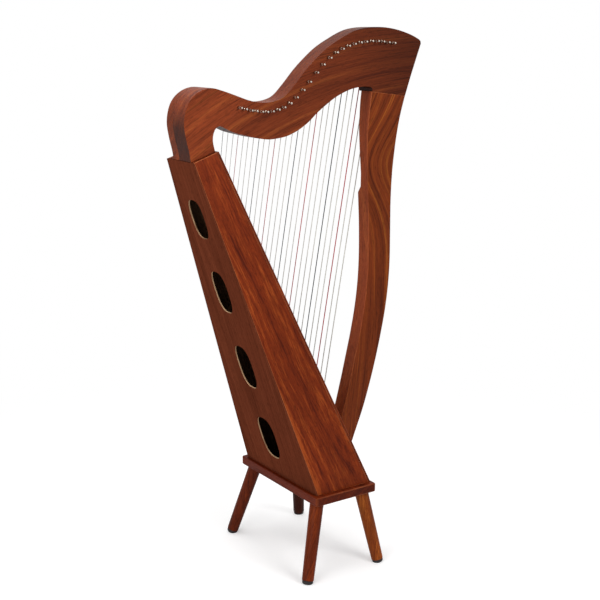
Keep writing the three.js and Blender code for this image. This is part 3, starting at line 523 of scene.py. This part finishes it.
# Back: a thin panel of darker, even rosewood, lacquered, with four oval holes sawn through
# it. Their cut walls are bare and show as a pale line.
BACK_ARRIS = 0.0009
BACK_LEAN = math.radians(18.56)
BACK_GRAIN_TURN = 108.6
BACK_WEAR_AND_HIGHLIGHT = 0.12
HOLE_REACH = 0.045
CUT_WALL = 2.0

back_wood = lacquered(
    "back_rosewood", BACK_GRAIN_TURN, heart=(0.02, -0.5), origin=BOX_FOOT,
    pale=tint(114, 58, 38), base=tint(97, 47, 30), dark=tint(80, 37, 23), spacing=0.03, wander=0.02,
    contrast=0.42, deepen=0.1, veins=-0.12, wear=0.8, rubbed=tint(214, 174, 134), gloss=0.0,
    specular=0.0,
)
back = planed("back_panel", BACK_ARRIS)
back_arris = back.faces.layers.float["arris"]
back_out = Vector((-math.cos(BACK_LEAN), 0, -math.sin(BACK_LEAN)))
for face in back.faces:
    in_hole = all(abs(corner.co.y) < HOLE_REACH for corner in face.verts)
    if in_hole and abs(face.normal.dot(back_out)) < SQUARE_ON:
        face[back_arris] = CUT_WALL
    # Other arrises keep only a little of the pale paint of wear and painted highlight.
    elif face[back_arris] > 0:
        face[back_arris] = BACK_WEAR_AND_HIGHLIGHT
finish_piece(
    "back_face", "back_panel", bare_inside(back, back_out), [back_wood, bare_wood])


# Inside the soundbox: blocks, linings, braces, rail and inner string rib, of bare sawn
# softwood, glued in. They show only through the oval holes. The top block is rosewood, as
# its end shows round the neck's foot.
inner_wood = lacquered(
    "sawn_softwood", SIDE_GRAIN_TURN, heart=(0.4, 0.1),
    pale=tint(140, 110, 78), base=tint(118, 89, 60), dark=tint(92, 66, 44),
    spacing=0.006, wander=0.01, wear=0.0, gloss=0.0, specular=0.05,
)
top_block_wood = lacquered(
    "top_block_rosewood", SIDE_GRAIN_TURN - 90, heart=(0.1, 0.05),
    pale=tint(104, 44, 18), base=tint(84, 33, 14), dark=tint(62, 22, 9),
    spacing=0.01, wear=0.0, gloss=0.0, specular=0.02,
)
frame["nodes"]["top_block"].material_slots[0].material = top_block_wood
INNER_PIECES = (
    "pillar_block", "back_rail", "board_lining_right", "board_lining_left",
    "back_lining_right", "back_lining_left", "back_brace_1", "back_brace_2", "back_brace_3",
    "inner_string_rib",
)
for name in INNER_PIECES:
    frame["nodes"][name].material_slots[0].material = inner_wood


# Outer string rib: a strip of dark rosewood glued down the middle of the soundboard, its
# long edges eased, for the strings to press on.
RIB_ARRIS = 0.0011
STRING_HOLE_EDGE = 0.006
rib_wood = lacquered(
    "rib_rosewood", 90 + math.degrees(BOARD_LEAN), heart=(0.08, 0.02),
    pale=tint(90, 37, 17), base=tint(70, 27, 13), dark=tint(52, 19, 10), spacing=0.008,
)


def at_string_hole(edge):
    return edge.calc_length() < STRING_HOLE_EDGE


finish_piece(
    "string_rib", "outer_string_rib", planed("outer_string_rib", RIB_ARRIS, at_string_hole),
    [rib_wood])


# Base plate: one flat board with its corners and edges rounded, screwed up into the box
# from below. The grain runs across the harp, along the board.
PLATE_GRAIN_TURN = 90
PLATE_ROUND_AREA = 0.0004
PLATE_FLAT = 0.99
PLATE_WEAR_AND_HIGHLIGHT = 0.7
plate_wood = lacquered(
    "plate_rosewood", PLATE_GRAIN_TURN, axis=2, heart=(0.19, 0.03),
    pale=tint(124, 47, 16), base=tint(96, 32, 11), dark=tint(68, 22, 7), spacing=0.014, wander=0.02,
)
plate, plate_arris = welded("base_plate")
# The rounded edges are painted pale: partly rubbed wear, partly painted highlight.
for face in plate.faces:
    rounded = max(abs(part) for part in face.normal) < PLATE_FLAT
    if rounded and face.calc_area() < PLATE_ROUND_AREA:
        face[plate_arris] = PLATE_WEAR_AND_HIGHLIGHT
finish_piece("plate", "base_plate", plate, [plate_wood])


# Legs: four turned dowels, slightly stouter at the plate, lacquered. Each is glued into a
# socket in the plate and leans out both ways.
LEG_BACK_SPLAY = 0.05
LEG_FRONT_SPLAY = 0.029
LEG_WIDTH_SPLAY = 0.035
LEG_FOOT_RADIUS = 0.0138
LEG_HEAD_RADIUS = 0.0162
LEG_SIDES = 40
LEG_STEPS = 8
LEG_RIM = 0.001
LEG_RIM_HEIGHT = 0.0008
TIP_HEIGHT = 0.0073
PLATE_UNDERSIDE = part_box("base_plate")[0].z
SEAT_GAP = 0.0003


def turned(rings, sides, foot, axis):
    """A round piece on an axis: rings of (height, radius) from its foot to its head."""
    shape = bmesh.new()
    spin = axis.to_track_quat("Z", "Y").to_matrix()
    ways = [step / sides * math.tau for step in range(sides)]
    loops = []
    for height, radius in rings:
        ring = [Vector((radius * math.cos(way), radius * math.sin(way), height)) for way in ways]
        loops.append([shape.verts.new(foot + spin @ corner) for corner in ring])
    for low, high in zip(loops, loops[1:]):
        for step in range(sides):
            after = (step + 1) % sides
            shape.faces.new((low[step], low[after], high[after], high[step]))
    shape.faces.new(loops[0][::-1])
    shape.faces.new(loops[-1])
    return shape


def cut_level(shape, height, keep_below):
    """Saws a shape off level and closes the cut."""
    normal = (0, 0, 1 if keep_below else -1)
    everything = list(shape.verts) + list(shape.edges) + list(shape.faces)
    cut = bmesh.ops.bisect_plane(
        shape, geom=everything, plane_co=(0, 0, height), plane_no=normal, clear_outer=True)
    edges = [part for part in cut["geom_cut"] if isinstance(part, bmesh.types.BMEdge)]
    bmesh.ops.contextual_create(shape, geom=edges)


# The legs' tones are painted light and shade: palest on the right front leg, darker on the left legs and darkest
# on the left front leg, as the lamps fall on them.
leg_tones_with_painted_light = {
    "back_right": (tint(127, 52, 18), tint(100, 37, 13), tint(70, 24, 8)),
    "back_left": (tint(106, 42, 17), tint(86, 31, 12), tint(62, 21, 9)),
    "front_right": (tint(160, 86, 32), tint(126, 58, 20), tint(88, 34, 13)),
    "front_left": (tint(66, 26, 11), tint(52, 19, 8), tint(38, 13, 6)),
}
legs = {
    mount["name"].replace("rest_", ""): Vector(mount["pos_m"])
    for mount in frame["record"]["mounts"]
}
leg_axes = {}
for leg_name, foot in legs.items():
    depth_splay = -LEG_BACK_SPLAY if leg_name.startswith("back") else LEG_FRONT_SPLAY
    head = foot - Vector((depth_splay, math.copysign(LEG_WIDTH_SPLAY, foot.y), 0))
    head.z = PLATE_UNDERSIDE
    axis = (head - foot).normalized()
    leg_axes[leg_name] = axis
    lean = math.degrees(math.atan2(axis.z, axis.x))
    pale, base, dark = leg_tones_with_painted_light[leg_name]
    leg_wood = lacquered(
        f"leg_rosewood_{leg_name}", lean, heart=(0.02, 0.01), origin=foot,
        pale=pale, base=base, dark=dark, spacing=0.007, wander=0.008, contrast=0.55)
    length = (head - foot).length
    rings = [
        (TIP_HEIGHT, LEG_FOOT_RADIUS - LEG_RIM), (TIP_HEIGHT + LEG_RIM_HEIGHT, LEG_FOOT_RADIUS)]
    rings += [
        (height, LEG_FOOT_RADIUS + (LEG_HEAD_RADIUS - LEG_FOOT_RADIUS) * height / length)
        for height in (length * step / LEG_STEPS for step in range(1, LEG_STEPS + 1))
    ]
    rings.append((length + LEG_HEAD_RADIUS, LEG_HEAD_RADIUS))
    leg = turned(rings, LEG_SIDES, foot, axis)
    cut_level(leg, PLATE_UNDERSIDE - SEAT_GAP, keep_below=True)
    finish_piece(f"turned_leg_{leg_name}", f"leg_{leg_name}", leg, [leg_wood])


# Tips: a thin black rubber cap under each leg, held by a stud in its end, round at the rim
# and worn flat on the floor, with dust in its surface.
TIP_DOME = 0.002
TIP_GIRTH = 0.95
DUST_REPEATS = (260, 260, 260)
DUST_LIGHT = 2.6
DUST_PALENESS = 0.004
DUST_BUMP = 0.2
DUST_DEPTH = 0.0003
TIP_RINGS = (
    (0.0, 0.5), (0.06, 0.66), (0.16, 0.8), (0.3, 0.9), (0.5, 0.97), (0.9, 0.98), (1.0, 0.94))


def mottle_group():
    """A second colour and roughness in patches: dusty rubber, rubbed nickel, cloudy nylon."""
    tree, given, result = new_group("mottle", "ShaderNodeTree", (
        ("Place", "NodeSocketVector", None),
        ("Repeats", "NodeSocketVector", None),
        ("Detail", "NodeSocketFloat", 2.0),
        ("From", "NodeSocketFloat", 0.35),
        ("To", "NodeSocketFloat", 0.75),
        ("Color", "NodeSocketColor", None),
        ("Patch Color", "NodeSocketColor", None),
        ("Smoothest", "NodeSocketFloat", 0.2),
        ("Roughest", "NodeSocketFloat", 0.4),
    ), (
        ("Color", "NodeSocketColor", None),
        ("Roughness", "NodeSocketFloat", None),
        ("Height", "NodeSocketFloat", None),
    ))
    mottle = noise_of(tree, given["Place"], given["Repeats"], given["Detail"])
    share = ramp_of(tree, mottle, given["From"], given["To"])
    tree.links.new(blend_of(tree, share, given["Color"], given["Patch Color"]), result["Color"])
    rough = ramp_of(tree, mottle, 0.3, 0.7, given["Smoothest"], given["Roughest"])
    tree.links.new(rough, result["Roughness"])
    tree.links.new(mottle, result["Height"])
    return tree


def mottled(name, colour, patch_colour, repeats, detail, patch, roughness):
    """A material in two colours. patch is where the noise turns from one to the other."""
    material, tree, shader, place = new_material(name)
    group = tree.nodes.new("ShaderNodeGroup")
    group.node_tree = mottle_figure
    for socket, value in {
        "Repeats": repeats, "Detail": detail, "From": patch[0], "To": patch[1], "Color": colour,
        "Patch Color": patch_colour, "Smoothest": roughness[0], "Roughest": roughness[1],
    }.items():
        group.inputs[socket].default_value = value
    tree.links.new(place["Object"], group.inputs["Place"])
    tree.links.new(group.outputs["Color"], shader.inputs["Base Color"])
    tree.links.new(group.outputs["Roughness"], shader.inputs["Roughness"])
    return material, tree, shader, group.outputs["Height"]


def rubber(name, colour):
    dusty = tuple(part * DUST_LIGHT + DUST_PALENESS for part in colour[:3]) + (1,)
    material, tree, shader, dust = mottled(
        name, colour, dusty, DUST_REPEATS, 4.0, patch=(0.35, 0.75), roughness=(0.62, 0.85))
    bump = add(tree, "ShaderNodeBump", {
        "Height": dust, "Strength": DUST_BUMP, "Distance": DUST_DEPTH})
    tree.links.new(bump["Normal"], shader.inputs["Normal"])
    shader.inputs["Specular IOR Level"].default_value = 0.3
    return material


mottle_figure = mottle_group()
tip_rubber = rubber("tip_rubber", tint(26, 22, 21))
for leg_name, foot in legs.items():
    reach = TIP_HEIGHT - SEAT_GAP + TIP_DOME
    rings = [
        (share * reach - TIP_DOME, radius * LEG_FOOT_RADIUS * TIP_GIRTH)
        for share, radius in TIP_RINGS
    ]
    tip = turned(rings, LEG_SIDES, foot, leg_axes[leg_name])
    cut_level(tip, 0.0, keep_below=False)
    finish_piece(
        f"cap_{leg_name}", f"leg_tip_{leg_name}", tip, [tip_rubber])


# Pillar: one bowed post of rosewood with a wild figure near its head, sawn from a plank,
# pared along the edge that faces the player, and tenoned into the box and the neck. Its faces
# towards the player take a paler copy of the wood: painted light on them.
PILLAR_ARRIS = 0.0013
PILLAR_GRAIN_TURN = 86
PILLAR_HEART = (0.06, -0.3)
PILLAR_SWERVE = (0, 0, 0.95)
LIGHTENED_FACING = -0.6
pillar_wood = lacquered(
    "pillar_rosewood", PILLAR_GRAIN_TURN, heart=PILLAR_HEART, origin=PILLAR_SWERVE,
    pale=tint(154, 82, 31), base=tint(116, 49, 19), dark=tint(80, 30, 11),
    bow=0.05, swerve=0.11, spacing=0.013, wander=0.05, contrast=0.45, deepen=0.03,
)
painted_light_inner_wood = lacquered(
    "pillar_inner_face", PILLAR_GRAIN_TURN, heart=PILLAR_HEART, origin=PILLAR_SWERVE,
    pale=tint(166, 84, 44), base=tint(144, 66, 36), dark=tint(112, 48, 25),
    bow=0.05, spacing=0.02, wander=0.03, contrast=0.3, deepen=-0.1,
)
pillar_foot, pillar_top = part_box("pillar")
HEAD_REACH = 0.09
JOINT_SLOPE = 0.02
GLUE_LINE = 0.00027
SLIVER = 0.0001
joint_top = max(
    corner.co.z for corner in frame["nodes"]["pillar"].data.vertices
    if corner.co.y < pillar_foot.y + SLIVER)


def across_grain(edge):
    """Edges square to the harp's plane, as at the ends of the joints."""
    way = edge.verts[1].co - edge.verts[0].co
    return abs(way.y) > SQUARE_ON * way.length


def at_pillar_head(edge):
    return across_grain(edge) and edge.verts[0].co.z > pillar_top.z - HEAD_REACH


pillar_shape = planed("pillar", PILLAR_ARRIS, at_pillar_head)
glued = set()
for face in pillar_shape.faces:
    # Faces towards the player take the paler copy of the wood: painted light on them.
    face.material_index = 1 if face.normal.x < LIGHTENED_FACING else 0
    at_joint = abs(face.calc_center_median().z - joint_top) < JOINT_SLOPE
    if face.normal.z > SQUARE_ON and at_joint:
        glued.update(face.verts)
for corner in glued:
    corner.co.z += GLUE_LINE
finish_piece("bowed_pillar", "pillar", pillar_shape, [pillar_wood, painted_light_inner_wood])


# Neck: a thick plank of rosewood sawn to a harmonic curve, its grain rising across the
# shoulder. The pins go through it; the shoulder block is glued to the strings' side.
NECK_ARRIS = 0.0014
NECK_GRAIN_TURN = 33
SHOULDER_GRAIN_TURN = 40
SHOULDER = (-0.29, 0, 1.02)
PIN_HOLE_EDGE = 0.0045
FACE_DEPTH = 0.0004
JOINT_FROM = 0.1
JOINT_RISE = 0.002
neck_low, neck_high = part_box("neck")


def kept_square(edge):
    """Edges of the pins' holes, of the mortises inside the plank, and of the pillar's joint."""
    ends = [corner.co.y for corner in edge.verts]
    buried = [neck_low.y + FACE_DEPTH < end < neck_high.y - FACE_DEPTH for end in ends]
    start = edge.verts[0].co
    level = joint_top - JOINT_SLOPE < start.z < joint_top + JOINT_RISE
    jointed = start.x > JOINT_FROM and level
    return any(buried) or edge.calc_length() < PIN_HOLE_EDGE or (jointed and across_grain(edge))


neck_wood = lacquered(
    "neck_rosewood", NECK_GRAIN_TURN, heart=(0.16, 0.12), origin=SHOULDER,
    pale=tint(162, 82, 40), base=tint(134, 59, 30), dark=tint(94, 37, 20),
    bow=0.5, spacing=0.012, wander=0.03, contrast=0.38, deepen=-1.15, end_grain=0.84, veins=-0.34,
)
finish_piece("neck_plank", "neck", planed("neck", NECK_ARRIS, kept_square), [neck_wood])

shoulder_wood = lacquered(
    "shoulder_rosewood", SHOULDER_GRAIN_TURN, heart=(0.2, 0.3), origin=SHOULDER,
    pale=tint(145, 65, 27), base=tint(119, 50, 20), dark=tint(92, 36, 14), spacing=0.014,
    end_grain=0.1,
)
finish_piece("shoulder", "shoulder_block", planed("shoulder_block", NECK_ARRIS), [shoulder_wood])


# Tuning pins: turned steel, nickel plated, driven through the neck. Each has a square head
# for the key on the player's right, and a round end with an eye for its string on the left.
PIN_RADIUS = 0.0031
PIN_HEAD_LENGTH = 0.009
PIN_NEAR_REACH = 0.015
PIN_FAR_REACH = 0.022
PIN_STEPS = 26
PIN_SIDES = 20
HEAD_STEPS = 14
HEAD_SIDES = 4
HEAD_TURN = 2.4
RUB_REPEATS = (900, 120, 900)
DULL_SHARE = 0.72

# From one share of the length to another, and the share of the full girth at each.
SHANK_SHOULDER = (0.0, 0.03, 0.84, 1.0)
SHANK_END = (0.965, 1.0, 1.0, 0.72)
HEAD_END = (0.0, 0.09, 0.78, 0.96)
HEAD_TAPER = (0.1, 1.0, 0.9, 0.96)


def nickel(name, colour):
    dull = tuple(part * DULL_SHARE for part in colour[:3]) + (1,)
    material, _, shader, _ = mottled(
        name, colour, dull, RUB_REPEATS, 3.0, patch=(0.4, 0.75), roughness=(0.16, 0.3))
    shader.inputs["Metallic"].default_value = 1.0
    return material


def grown(name, tree, seed_mesh, **sizes):
    """Runs a geometry tree on a mesh with its named sizes, and keeps the plain mesh."""
    piece = bpy.data.objects.new(name, seed_mesh)
    bpy.context.scene.collection.objects.link(piece)
    growth = piece.modifiers.new("growth", "NODES")
    growth.node_group = tree
    for socket in tree.interface.items_tree:
        size_name = socket.name.replace(" ", "_").lower()
        if socket.in_out == "INPUT" and size_name in sizes:
            growth[socket.identifier] = sizes[size_name]
    view = bpy.context.evaluated_depsgraph_get()
    made = bpy.data.meshes.new_from_object(piece.evaluated_get(view))
    piece.modifiers.remove(growth)
    piece.data = made
    made.name = name
    return piece


def rod_curve(tree, start, end, count):
    line = add(tree, "GeometryNodeCurvePrimitiveLine", {"Start": start, "End": end})["Curve"]
    return add(tree, "GeometryNodeResampleCurve", {"Curve": line, "Count": count})["Curve"]


def tube_of(tree, curve, sides, thickness):
    """A tube with closed ends round a curve, as thick at each point as it is told."""
    ring = add(tree, "GeometryNodeCurvePrimitiveCircle", {
        "Resolution": sides, "Radius": 1.0})["Curve"]
    return add(tree, "GeometryNodeCurveToMesh", {
        "Curve": curve, "Profile Curve": ring, "Scale": thickness, "Fill Caps": True})["Mesh"]


def at_level(tree, level):
    return add(tree, "ShaderNodeCombineXYZ", {1: level})[0]


def smoothed(tree, shape, smooth=True):
    return add(tree, "GeometryNodeSetShadeSmooth", {"Geometry": shape, "Shade Smooth": smooth})[0]


def joined(tree, shapes):
    together = tree.nodes.new("GeometryNodeJoinGeometry")
    for shape in shapes:
        tree.links.new(shape, together.inputs[0])
    return together.outputs[0]


def finished(tree, shape, material, result):
    """Turns a shape into plain mesh in its material, and gives it out of the tree."""
    solid = add(tree, "GeometryNodeRealizeInstances", {"Geometry": shape})[0]
    done = add(tree, "GeometryNodeSetMaterial", {"Geometry": solid, "Material": material})[0]
    tree.links.new(done, result["Geometry"])


def at_points(tree, points, shape):
    return add(tree, "GeometryNodeInstanceOnPoints", {"Points": points, "Instance": shape})[0]


def pin_tree():
    tree, given, result = new_group("turned_pin", "GeometryNodeTree", (
        ("Geometry", "NodeSocketGeometry", None),
        ("Radius", "NodeSocketFloat", PIN_RADIUS),
        ("Near End", "NodeSocketFloat", 0.0),
        ("Far End", "NodeSocketFloat", 0.1),
        ("Head Length", "NodeSocketFloat", PIN_HEAD_LENGTH),
        ("Head Turn", "NodeSocketFloat", 0.0),
        ("Metal", "NodeSocketMaterial", None),
    ), (("Geometry", "NodeSocketGeometry", None),))
    factor = add(tree, "GeometryNodeSplineParameter")["Factor"]
    head_end = math_of(tree, "ADD", given["Near End"], given["Head Length"])
    shank = rod_curve(tree, at_level(tree, head_end), at_level(tree, given["Far End"]), PIN_STEPS)
    shouldered = ramp_of(tree, factor, *SHANK_SHOULDER)
    rounded = ramp_of(tree, factor, *SHANK_END)
    narrowed = math_of(tree, "MINIMUM", shouldered, rounded)
    shank = tube_of(tree, shank, PIN_SIDES, math_of(tree, "MULTIPLY", narrowed, given["Radius"]))
    head = rod_curve(
        tree, at_level(tree, given["Near End"]), at_level(tree, head_end), HEAD_STEPS)
    eased = ramp_of(tree, factor, *HEAD_END)
    tapered = math_of(tree, "MULTIPLY", eased, ramp_of(tree, factor, *HEAD_TAPER))
    head_girth = math_of(tree, "MULTIPLY", tapered, given["Radius"])
    head = tube_of(tree, head, HEAD_SIDES, head_girth)
    turn = add(tree, "ShaderNodeCombineXYZ", {1: given["Head Turn"]})[0]
    head = add(tree, "GeometryNodeTransform", {"Geometry": head, "Rotation": turn})[0]
    pin = joined(tree, (smoothed(tree, shank), smoothed(tree, head, False)))
    finished(tree, at_points(tree, given["Geometry"], pin), given["Metal"], result)
    return tree


def points_mesh(name, places):
    mesh = bpy.data.meshes.new(name)
    mesh.from_pydata(places, [], [])
    return mesh


pin_nickel = nickel("pin_nickel", tint(204, 197, 186))
pin_growth = pin_tree()
pin_places = [Vector(joint["pos_m"]) for joint in frame["joints"]]
for number, place in enumerate(pin_places, 1):
    node = f"tuning_pin_{number:02d}"
    pin = grown(
        f"pin_{number:02d}", pin_growth, points_mesh(node, [place]), radius=PIN_RADIUS,
        near_end=neck_low.y - PIN_NEAR_REACH, far_end=neck_high.y + PIN_FAR_REACH,
        head_length=PIN_HEAD_LENGTH, head_turn=number * HEAD_TURN, metal=pin_nickel)
    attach(pin, node)
    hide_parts(node)


# Bridge pins: one small nickel pin for each string, in the strings' side of the neck just
# below its tuning pin, with a groove that the string lies in.
BRIDGE_DROP = 0.027
BRIDGE_RADIUS = 0.002
BRIDGE_DEPTH = 0.012
BRIDGE_REACH = 0.013
BRIDGE_STEPS = 34
BRIDGE_SIDES = 16
BRIDGE_END = (0.93, 1.0, 1.0, 0.5)
GROOVE_IN = (0.76, 0.82)
GROOVE_OUT = (0.82, 0.9, 1.0, 0.0)
GROOVE_DEPTH = 0.22
PIN_SIDE_STEP = 0.0033
STRING_PLANE = 0.0115
STRING_RADII = (0.0005, 0.0012)
FIRST_FROM_TOP = 0.068
LAST_FROM_FOOT = 0.125
STRING_SPREAD = 0.085
BOARD_LENGTH = 0.86201
RIB_FACE = 0.0043
STRING_CLEARANCE = 0.0004
board_foot = Vector((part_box("soundboard")[1].x, 0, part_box("base_plate")[1].z))
up_board = Vector((-math.sin(BOARD_LEAN), 0, math.cos(BOARD_LEAN)))


def string_radius(share):
    """From the first and thinnest string, whose share is 0, to the last, whose share is 1."""
    return STRING_RADII[0] + (STRING_RADII[1] - STRING_RADII[0]) * share


def string_leaves(share):
    """Where a string comes out of its hole in the rib."""
    spread = share + STRING_SPREAD * share * (share - 1)
    first = BOARD_LENGTH - FIRST_FROM_TOP
    along = first - (first - LAST_FROM_FOOT) * spread
    off_board = RIB_FACE + string_radius(share) + STRING_CLEARANCE
    return board_foot + up_board * along + board_out * off_board


def lean_of(leaves, pin_place):
    return math.atan2(pin_place.x + PIN_SIDE_STEP - leaves.x, pin_place.z - leaves.z)


strings = []
last = len(pin_places) - 1
first_lean = lean_of(string_leaves(0), pin_places[0])
last_lean = lean_of(string_leaves(1), pin_places[last])
for number, pin_place in enumerate(pin_places):
    share = number / last
    lean = first_lean + (last_lean - first_lean) * share
    bend = pin_place + Vector((PIN_SIDE_STEP, STRING_PLANE, 0))
    bend -= Vector((math.sin(lean), 0, math.cos(lean))) * BRIDGE_DROP
    strings.append({
        "leaves": string_leaves(share), "bend": bend, "pin": pin_place,
        "radius": string_radius(share)})


def bridge_tree():
    tree, given, result = new_group("grooved_pin", "GeometryNodeTree", (
        ("Geometry", "NodeSocketGeometry", None),
        ("Radius", "NodeSocketFloat", BRIDGE_RADIUS),
        ("Root", "NodeSocketFloat", 0.0),
        ("Far End", "NodeSocketFloat", 0.02),
        ("Metal", "NodeSocketMaterial", None),
    ), (("Geometry", "NodeSocketGeometry", None),))
    factor = add(tree, "GeometryNodeSplineParameter")["Factor"]
    rod = rod_curve(
        tree, at_level(tree, given["Root"]), at_level(tree, given["Far End"]), BRIDGE_STEPS)
    dome = ramp_of(tree, factor, *BRIDGE_END)
    groove = ramp_of(tree, factor, *GROOVE_IN)
    groove = math_of(tree, "MULTIPLY", groove, ramp_of(tree, factor, *GROOVE_OUT))
    waist = math_of(tree, "MULTIPLY_ADD", groove, -GROOVE_DEPTH, 1.0)
    girth = math_of(tree, "MULTIPLY", math_of(tree, "MULTIPLY", dome, waist), given["Radius"])
    pin = smoothed(tree, tube_of(tree, rod, BRIDGE_SIDES, girth))
    finished(tree, at_points(tree, given["Geometry"], pin), given["Metal"], result)
    return tree


bridge_places = [
    (each["bend"].x - BRIDGE_RADIUS - each["radius"] - SEAT_GAP, 0, each["bend"].z)
    for each in strings
]
bridge_nickel = nickel("bridge_nickel", tint(206, 200, 186))
bridge = grown(
    "bridge_row", bridge_tree(), points_mesh("bridge_row", bridge_places), radius=BRIDGE_RADIUS,
    root=neck_high.y - BRIDGE_DEPTH, far_end=neck_high.y + BRIDGE_REACH, metal=bridge_nickel)
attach(bridge, "frame")
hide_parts("bridge_pins")


# Strings: nylon, one for each note, black for F, red for C and clear for the rest. Each is
# knotted inside the box, comes up through the rib, bends round its bridge pin and is wound
# on its tuning pin from the eye inwards.
WINDING_PLANE = 0.0145
WINDING_END = 0.0215
EYE_PLANE = 0.022
WINDING_TURNS = 3.4
TAIL_LENGTH = 0.0085
TAIL_STEPS = 3
COIL_STEPS = 84
COIL_SIDES = 8
KNOT_DEPTH = 0.0145
KNOT_GIRTH = 2.3
KNOT_STEPS = (0, 0.0012, 0.0028, 0.004)
KNOT_SHARES = (0.8, KNOT_GIRTH, KNOT_GIRTH, 0.8)
BEND_RADIUS = 0.002
BEND_STEPS = 5
STRING_SIDES = 10
CLOUD_REPEATS = (60, 60, 18)
OCTAVE = 7
NOTE_F = 0
NOTE_C = 3
STRING_TINTS = {
    "natural": (tint(206, 204, 196), tint(188, 186, 179)),
    "red": (tint(178, 3, 34), tint(152, 2, 26)),
    "black": (tint(10, 10, 14), tint(5, 5, 8)),
}


def nylon(name, colour, shade):
    material, _, shader, _ = mottled(
        name, colour, shade, CLOUD_REPEATS, 2.0, patch=(0.35, 0.7), roughness=(0.24, 0.36))
    shader.inputs["Specular IOR Level"].default_value = 0.1
    return material


def string_tree():
    """Tubes along lines of points, each as thick there as its girth, rounded at the bends."""
    tree, given, result = new_group("drawn_strings", "GeometryNodeTree", (
        ("Geometry", "NodeSocketGeometry", None),
        ("Bend Radius", "NodeSocketFloat", BEND_RADIUS),
        ("Nylon", "NodeSocketMaterial", None),
    ), (("Geometry", "NodeSocketGeometry", None),))
    lines = add(tree, "GeometryNodeMeshToCurve", {"Mesh": given["Geometry"]})[0]
    eased = add(tree, "GeometryNodeFilletCurve", {
        "Curve": lines, "Count": BEND_STEPS, "Radius": given["Bend Radius"], "Limit Radius": True,
    }, mode="POLY")[0]
    girth = add(tree, "GeometryNodeInputNamedAttribute", {"Name": "girth"}, data_type="FLOAT")
    tubes = tube_of(tree, eased, STRING_SIDES, girth["Attribute"])
    finished(tree, smoothed(tree, tubes), given["Nylon"], result)
    return tree


def winding_tree():
    """A string wound round a pin: one flat turn, then turns that step out to the eye."""
    tree, given, result = new_group("wound_string", "GeometryNodeTree", (
        ("Geometry", "NodeSocketGeometry", None),
        ("Pin Radius", "NodeSocketFloat", PIN_RADIUS),
        ("Radius", "NodeSocketFloat", STRING_RADII[0]),
        ("Turns", "NodeSocketFloat", WINDING_TURNS),
        ("Start", "NodeSocketFloat", WINDING_PLANE),
        ("End", "NodeSocketFloat", WINDING_END),
        ("Eye", "NodeSocketFloat", EYE_PLANE),
        ("Tail", "NodeSocketFloat", TAIL_LENGTH),
        ("Nylon", "NodeSocketMaterial", None),
    ), (("Geometry", "NodeSocketGeometry", None),))
    factor = add(tree, "GeometryNodeSplineParameter")["Factor"]
    turned_by = math_of(tree, "MULTIPLY", factor, given["Turns"])
    turned_by = math_of(tree, "MULTIPLY", turned_by, math.tau)
    lie = math_of(tree, "ADD", given["Pin Radius"], given["Radius"])
    back = math_of(tree, "MULTIPLY", lie, -1.0)
    across = math_of(tree, "MULTIPLY", math_of(tree, "COSINE", turned_by), back)
    up = math_of(tree, "MULTIPLY", math_of(tree, "SINE", turned_by), lie)
    flat_share = math_of(tree, "DIVIDE", 1.0, given["Turns"])
    climbed = add(tree, "ShaderNodeMapRange", {
        "Value": factor, "From Min": flat_share, "From Max": 1.0,
        "To Min": given["Start"], "To Max": given["End"]})[0]
    path = add(tree, "ShaderNodeCombineXYZ", {0: across, 1: climbed, 2: up})[0]
    line = rod_curve(tree, (0, 0, 0), (0, 1, 0), COIL_STEPS)
    coil = add(tree, "GeometryNodeSetPosition", {"Geometry": line, "Position": path})[0]
    coil = tube_of(tree, coil, COIL_SIDES, given["Radius"])
    tail_end = add(tree, "ShaderNodeCombineXYZ", {0: given["Tail"], 1: given["Eye"]})[0]
    tail_start = add(tree, "ShaderNodeCombineXYZ", {0: back, 1: given["Eye"]})[0]
    tail = rod_curve(tree, tail_start, tail_end, TAIL_STEPS)
    tail = tube_of(tree, tail, COIL_SIDES, given["Radius"])
    winding = smoothed(tree, joined(tree, (coil, tail)))
    finished(tree, at_points(tree, given["Geometry"], winding), given["Nylon"], result)
    return tree


def string_lines(name, chosen):
    """The strings of one colour as lines of points, with a bead of a knot below each."""
    places, edges, girths = [], [], []
    for each in chosen:
        knot = each["leaves"] - board_out * (RIB_FACE + STRING_CLEARANCE + KNOT_DEPTH)
        end = each["pin"] + Vector((-PIN_RADIUS - each["radius"] - SEAT_GAP, WINDING_PLANE, 0))
        bead = [knot - board_out * step for step in KNOT_STEPS]
        for line, shares in (
            ([knot, each["leaves"], each["bend"], end], (1, 1, 1, 1)),
            (bead, KNOT_SHARES),
        ):
            start = len(places)
            places += line
            edges += [(start + step, start + step + 1) for step in range(len(line) - 1)]
            girths += [each["radius"] * share for share in shares]
    mesh = bpy.data.meshes.new(name)
    mesh.from_pydata(places, edges, [])
    mesh.attributes.new("girth", "FLOAT", "POINT").data.foreach_set("value", girths)
    return mesh


def colour_of(number):
    return {NOTE_F: "black", NOTE_C: "red"}.get(number % OCTAVE, "natural")


drawn = string_tree()
wound = winding_tree()
for colour, (tone, shade) in STRING_TINTS.items():
    finish = nylon(f"nylon_{colour}", tone, shade)
    own = [number for number in range(len(strings)) if colour_of(number) == colour]
    lines = string_lines(f"nylon_strings_{colour}", [strings[number] for number in own])
    row = grown(lines.name, drawn, lines, bend_radius=BEND_RADIUS, nylon=finish)
    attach(row, "frame")
    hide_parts(f"strings_{colour}")
    for number in own:
        each = strings[number]
        name = f"winding_{number + 1:02d}"
        winding = grown(
            name, wound, points_mesh(name, [each["pin"]]), pin_radius=PIN_RADIUS,
            radius=each["radius"], turns=WINDING_TURNS, start=WINDING_PLANE,
            end=WINDING_END, eye=EYE_PLANE, tail=TAIL_LENGTH, nylon=finish)
        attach(winding, f"tuning_pin_{number + 1:02d}")


bpy.context.view_layer.update()
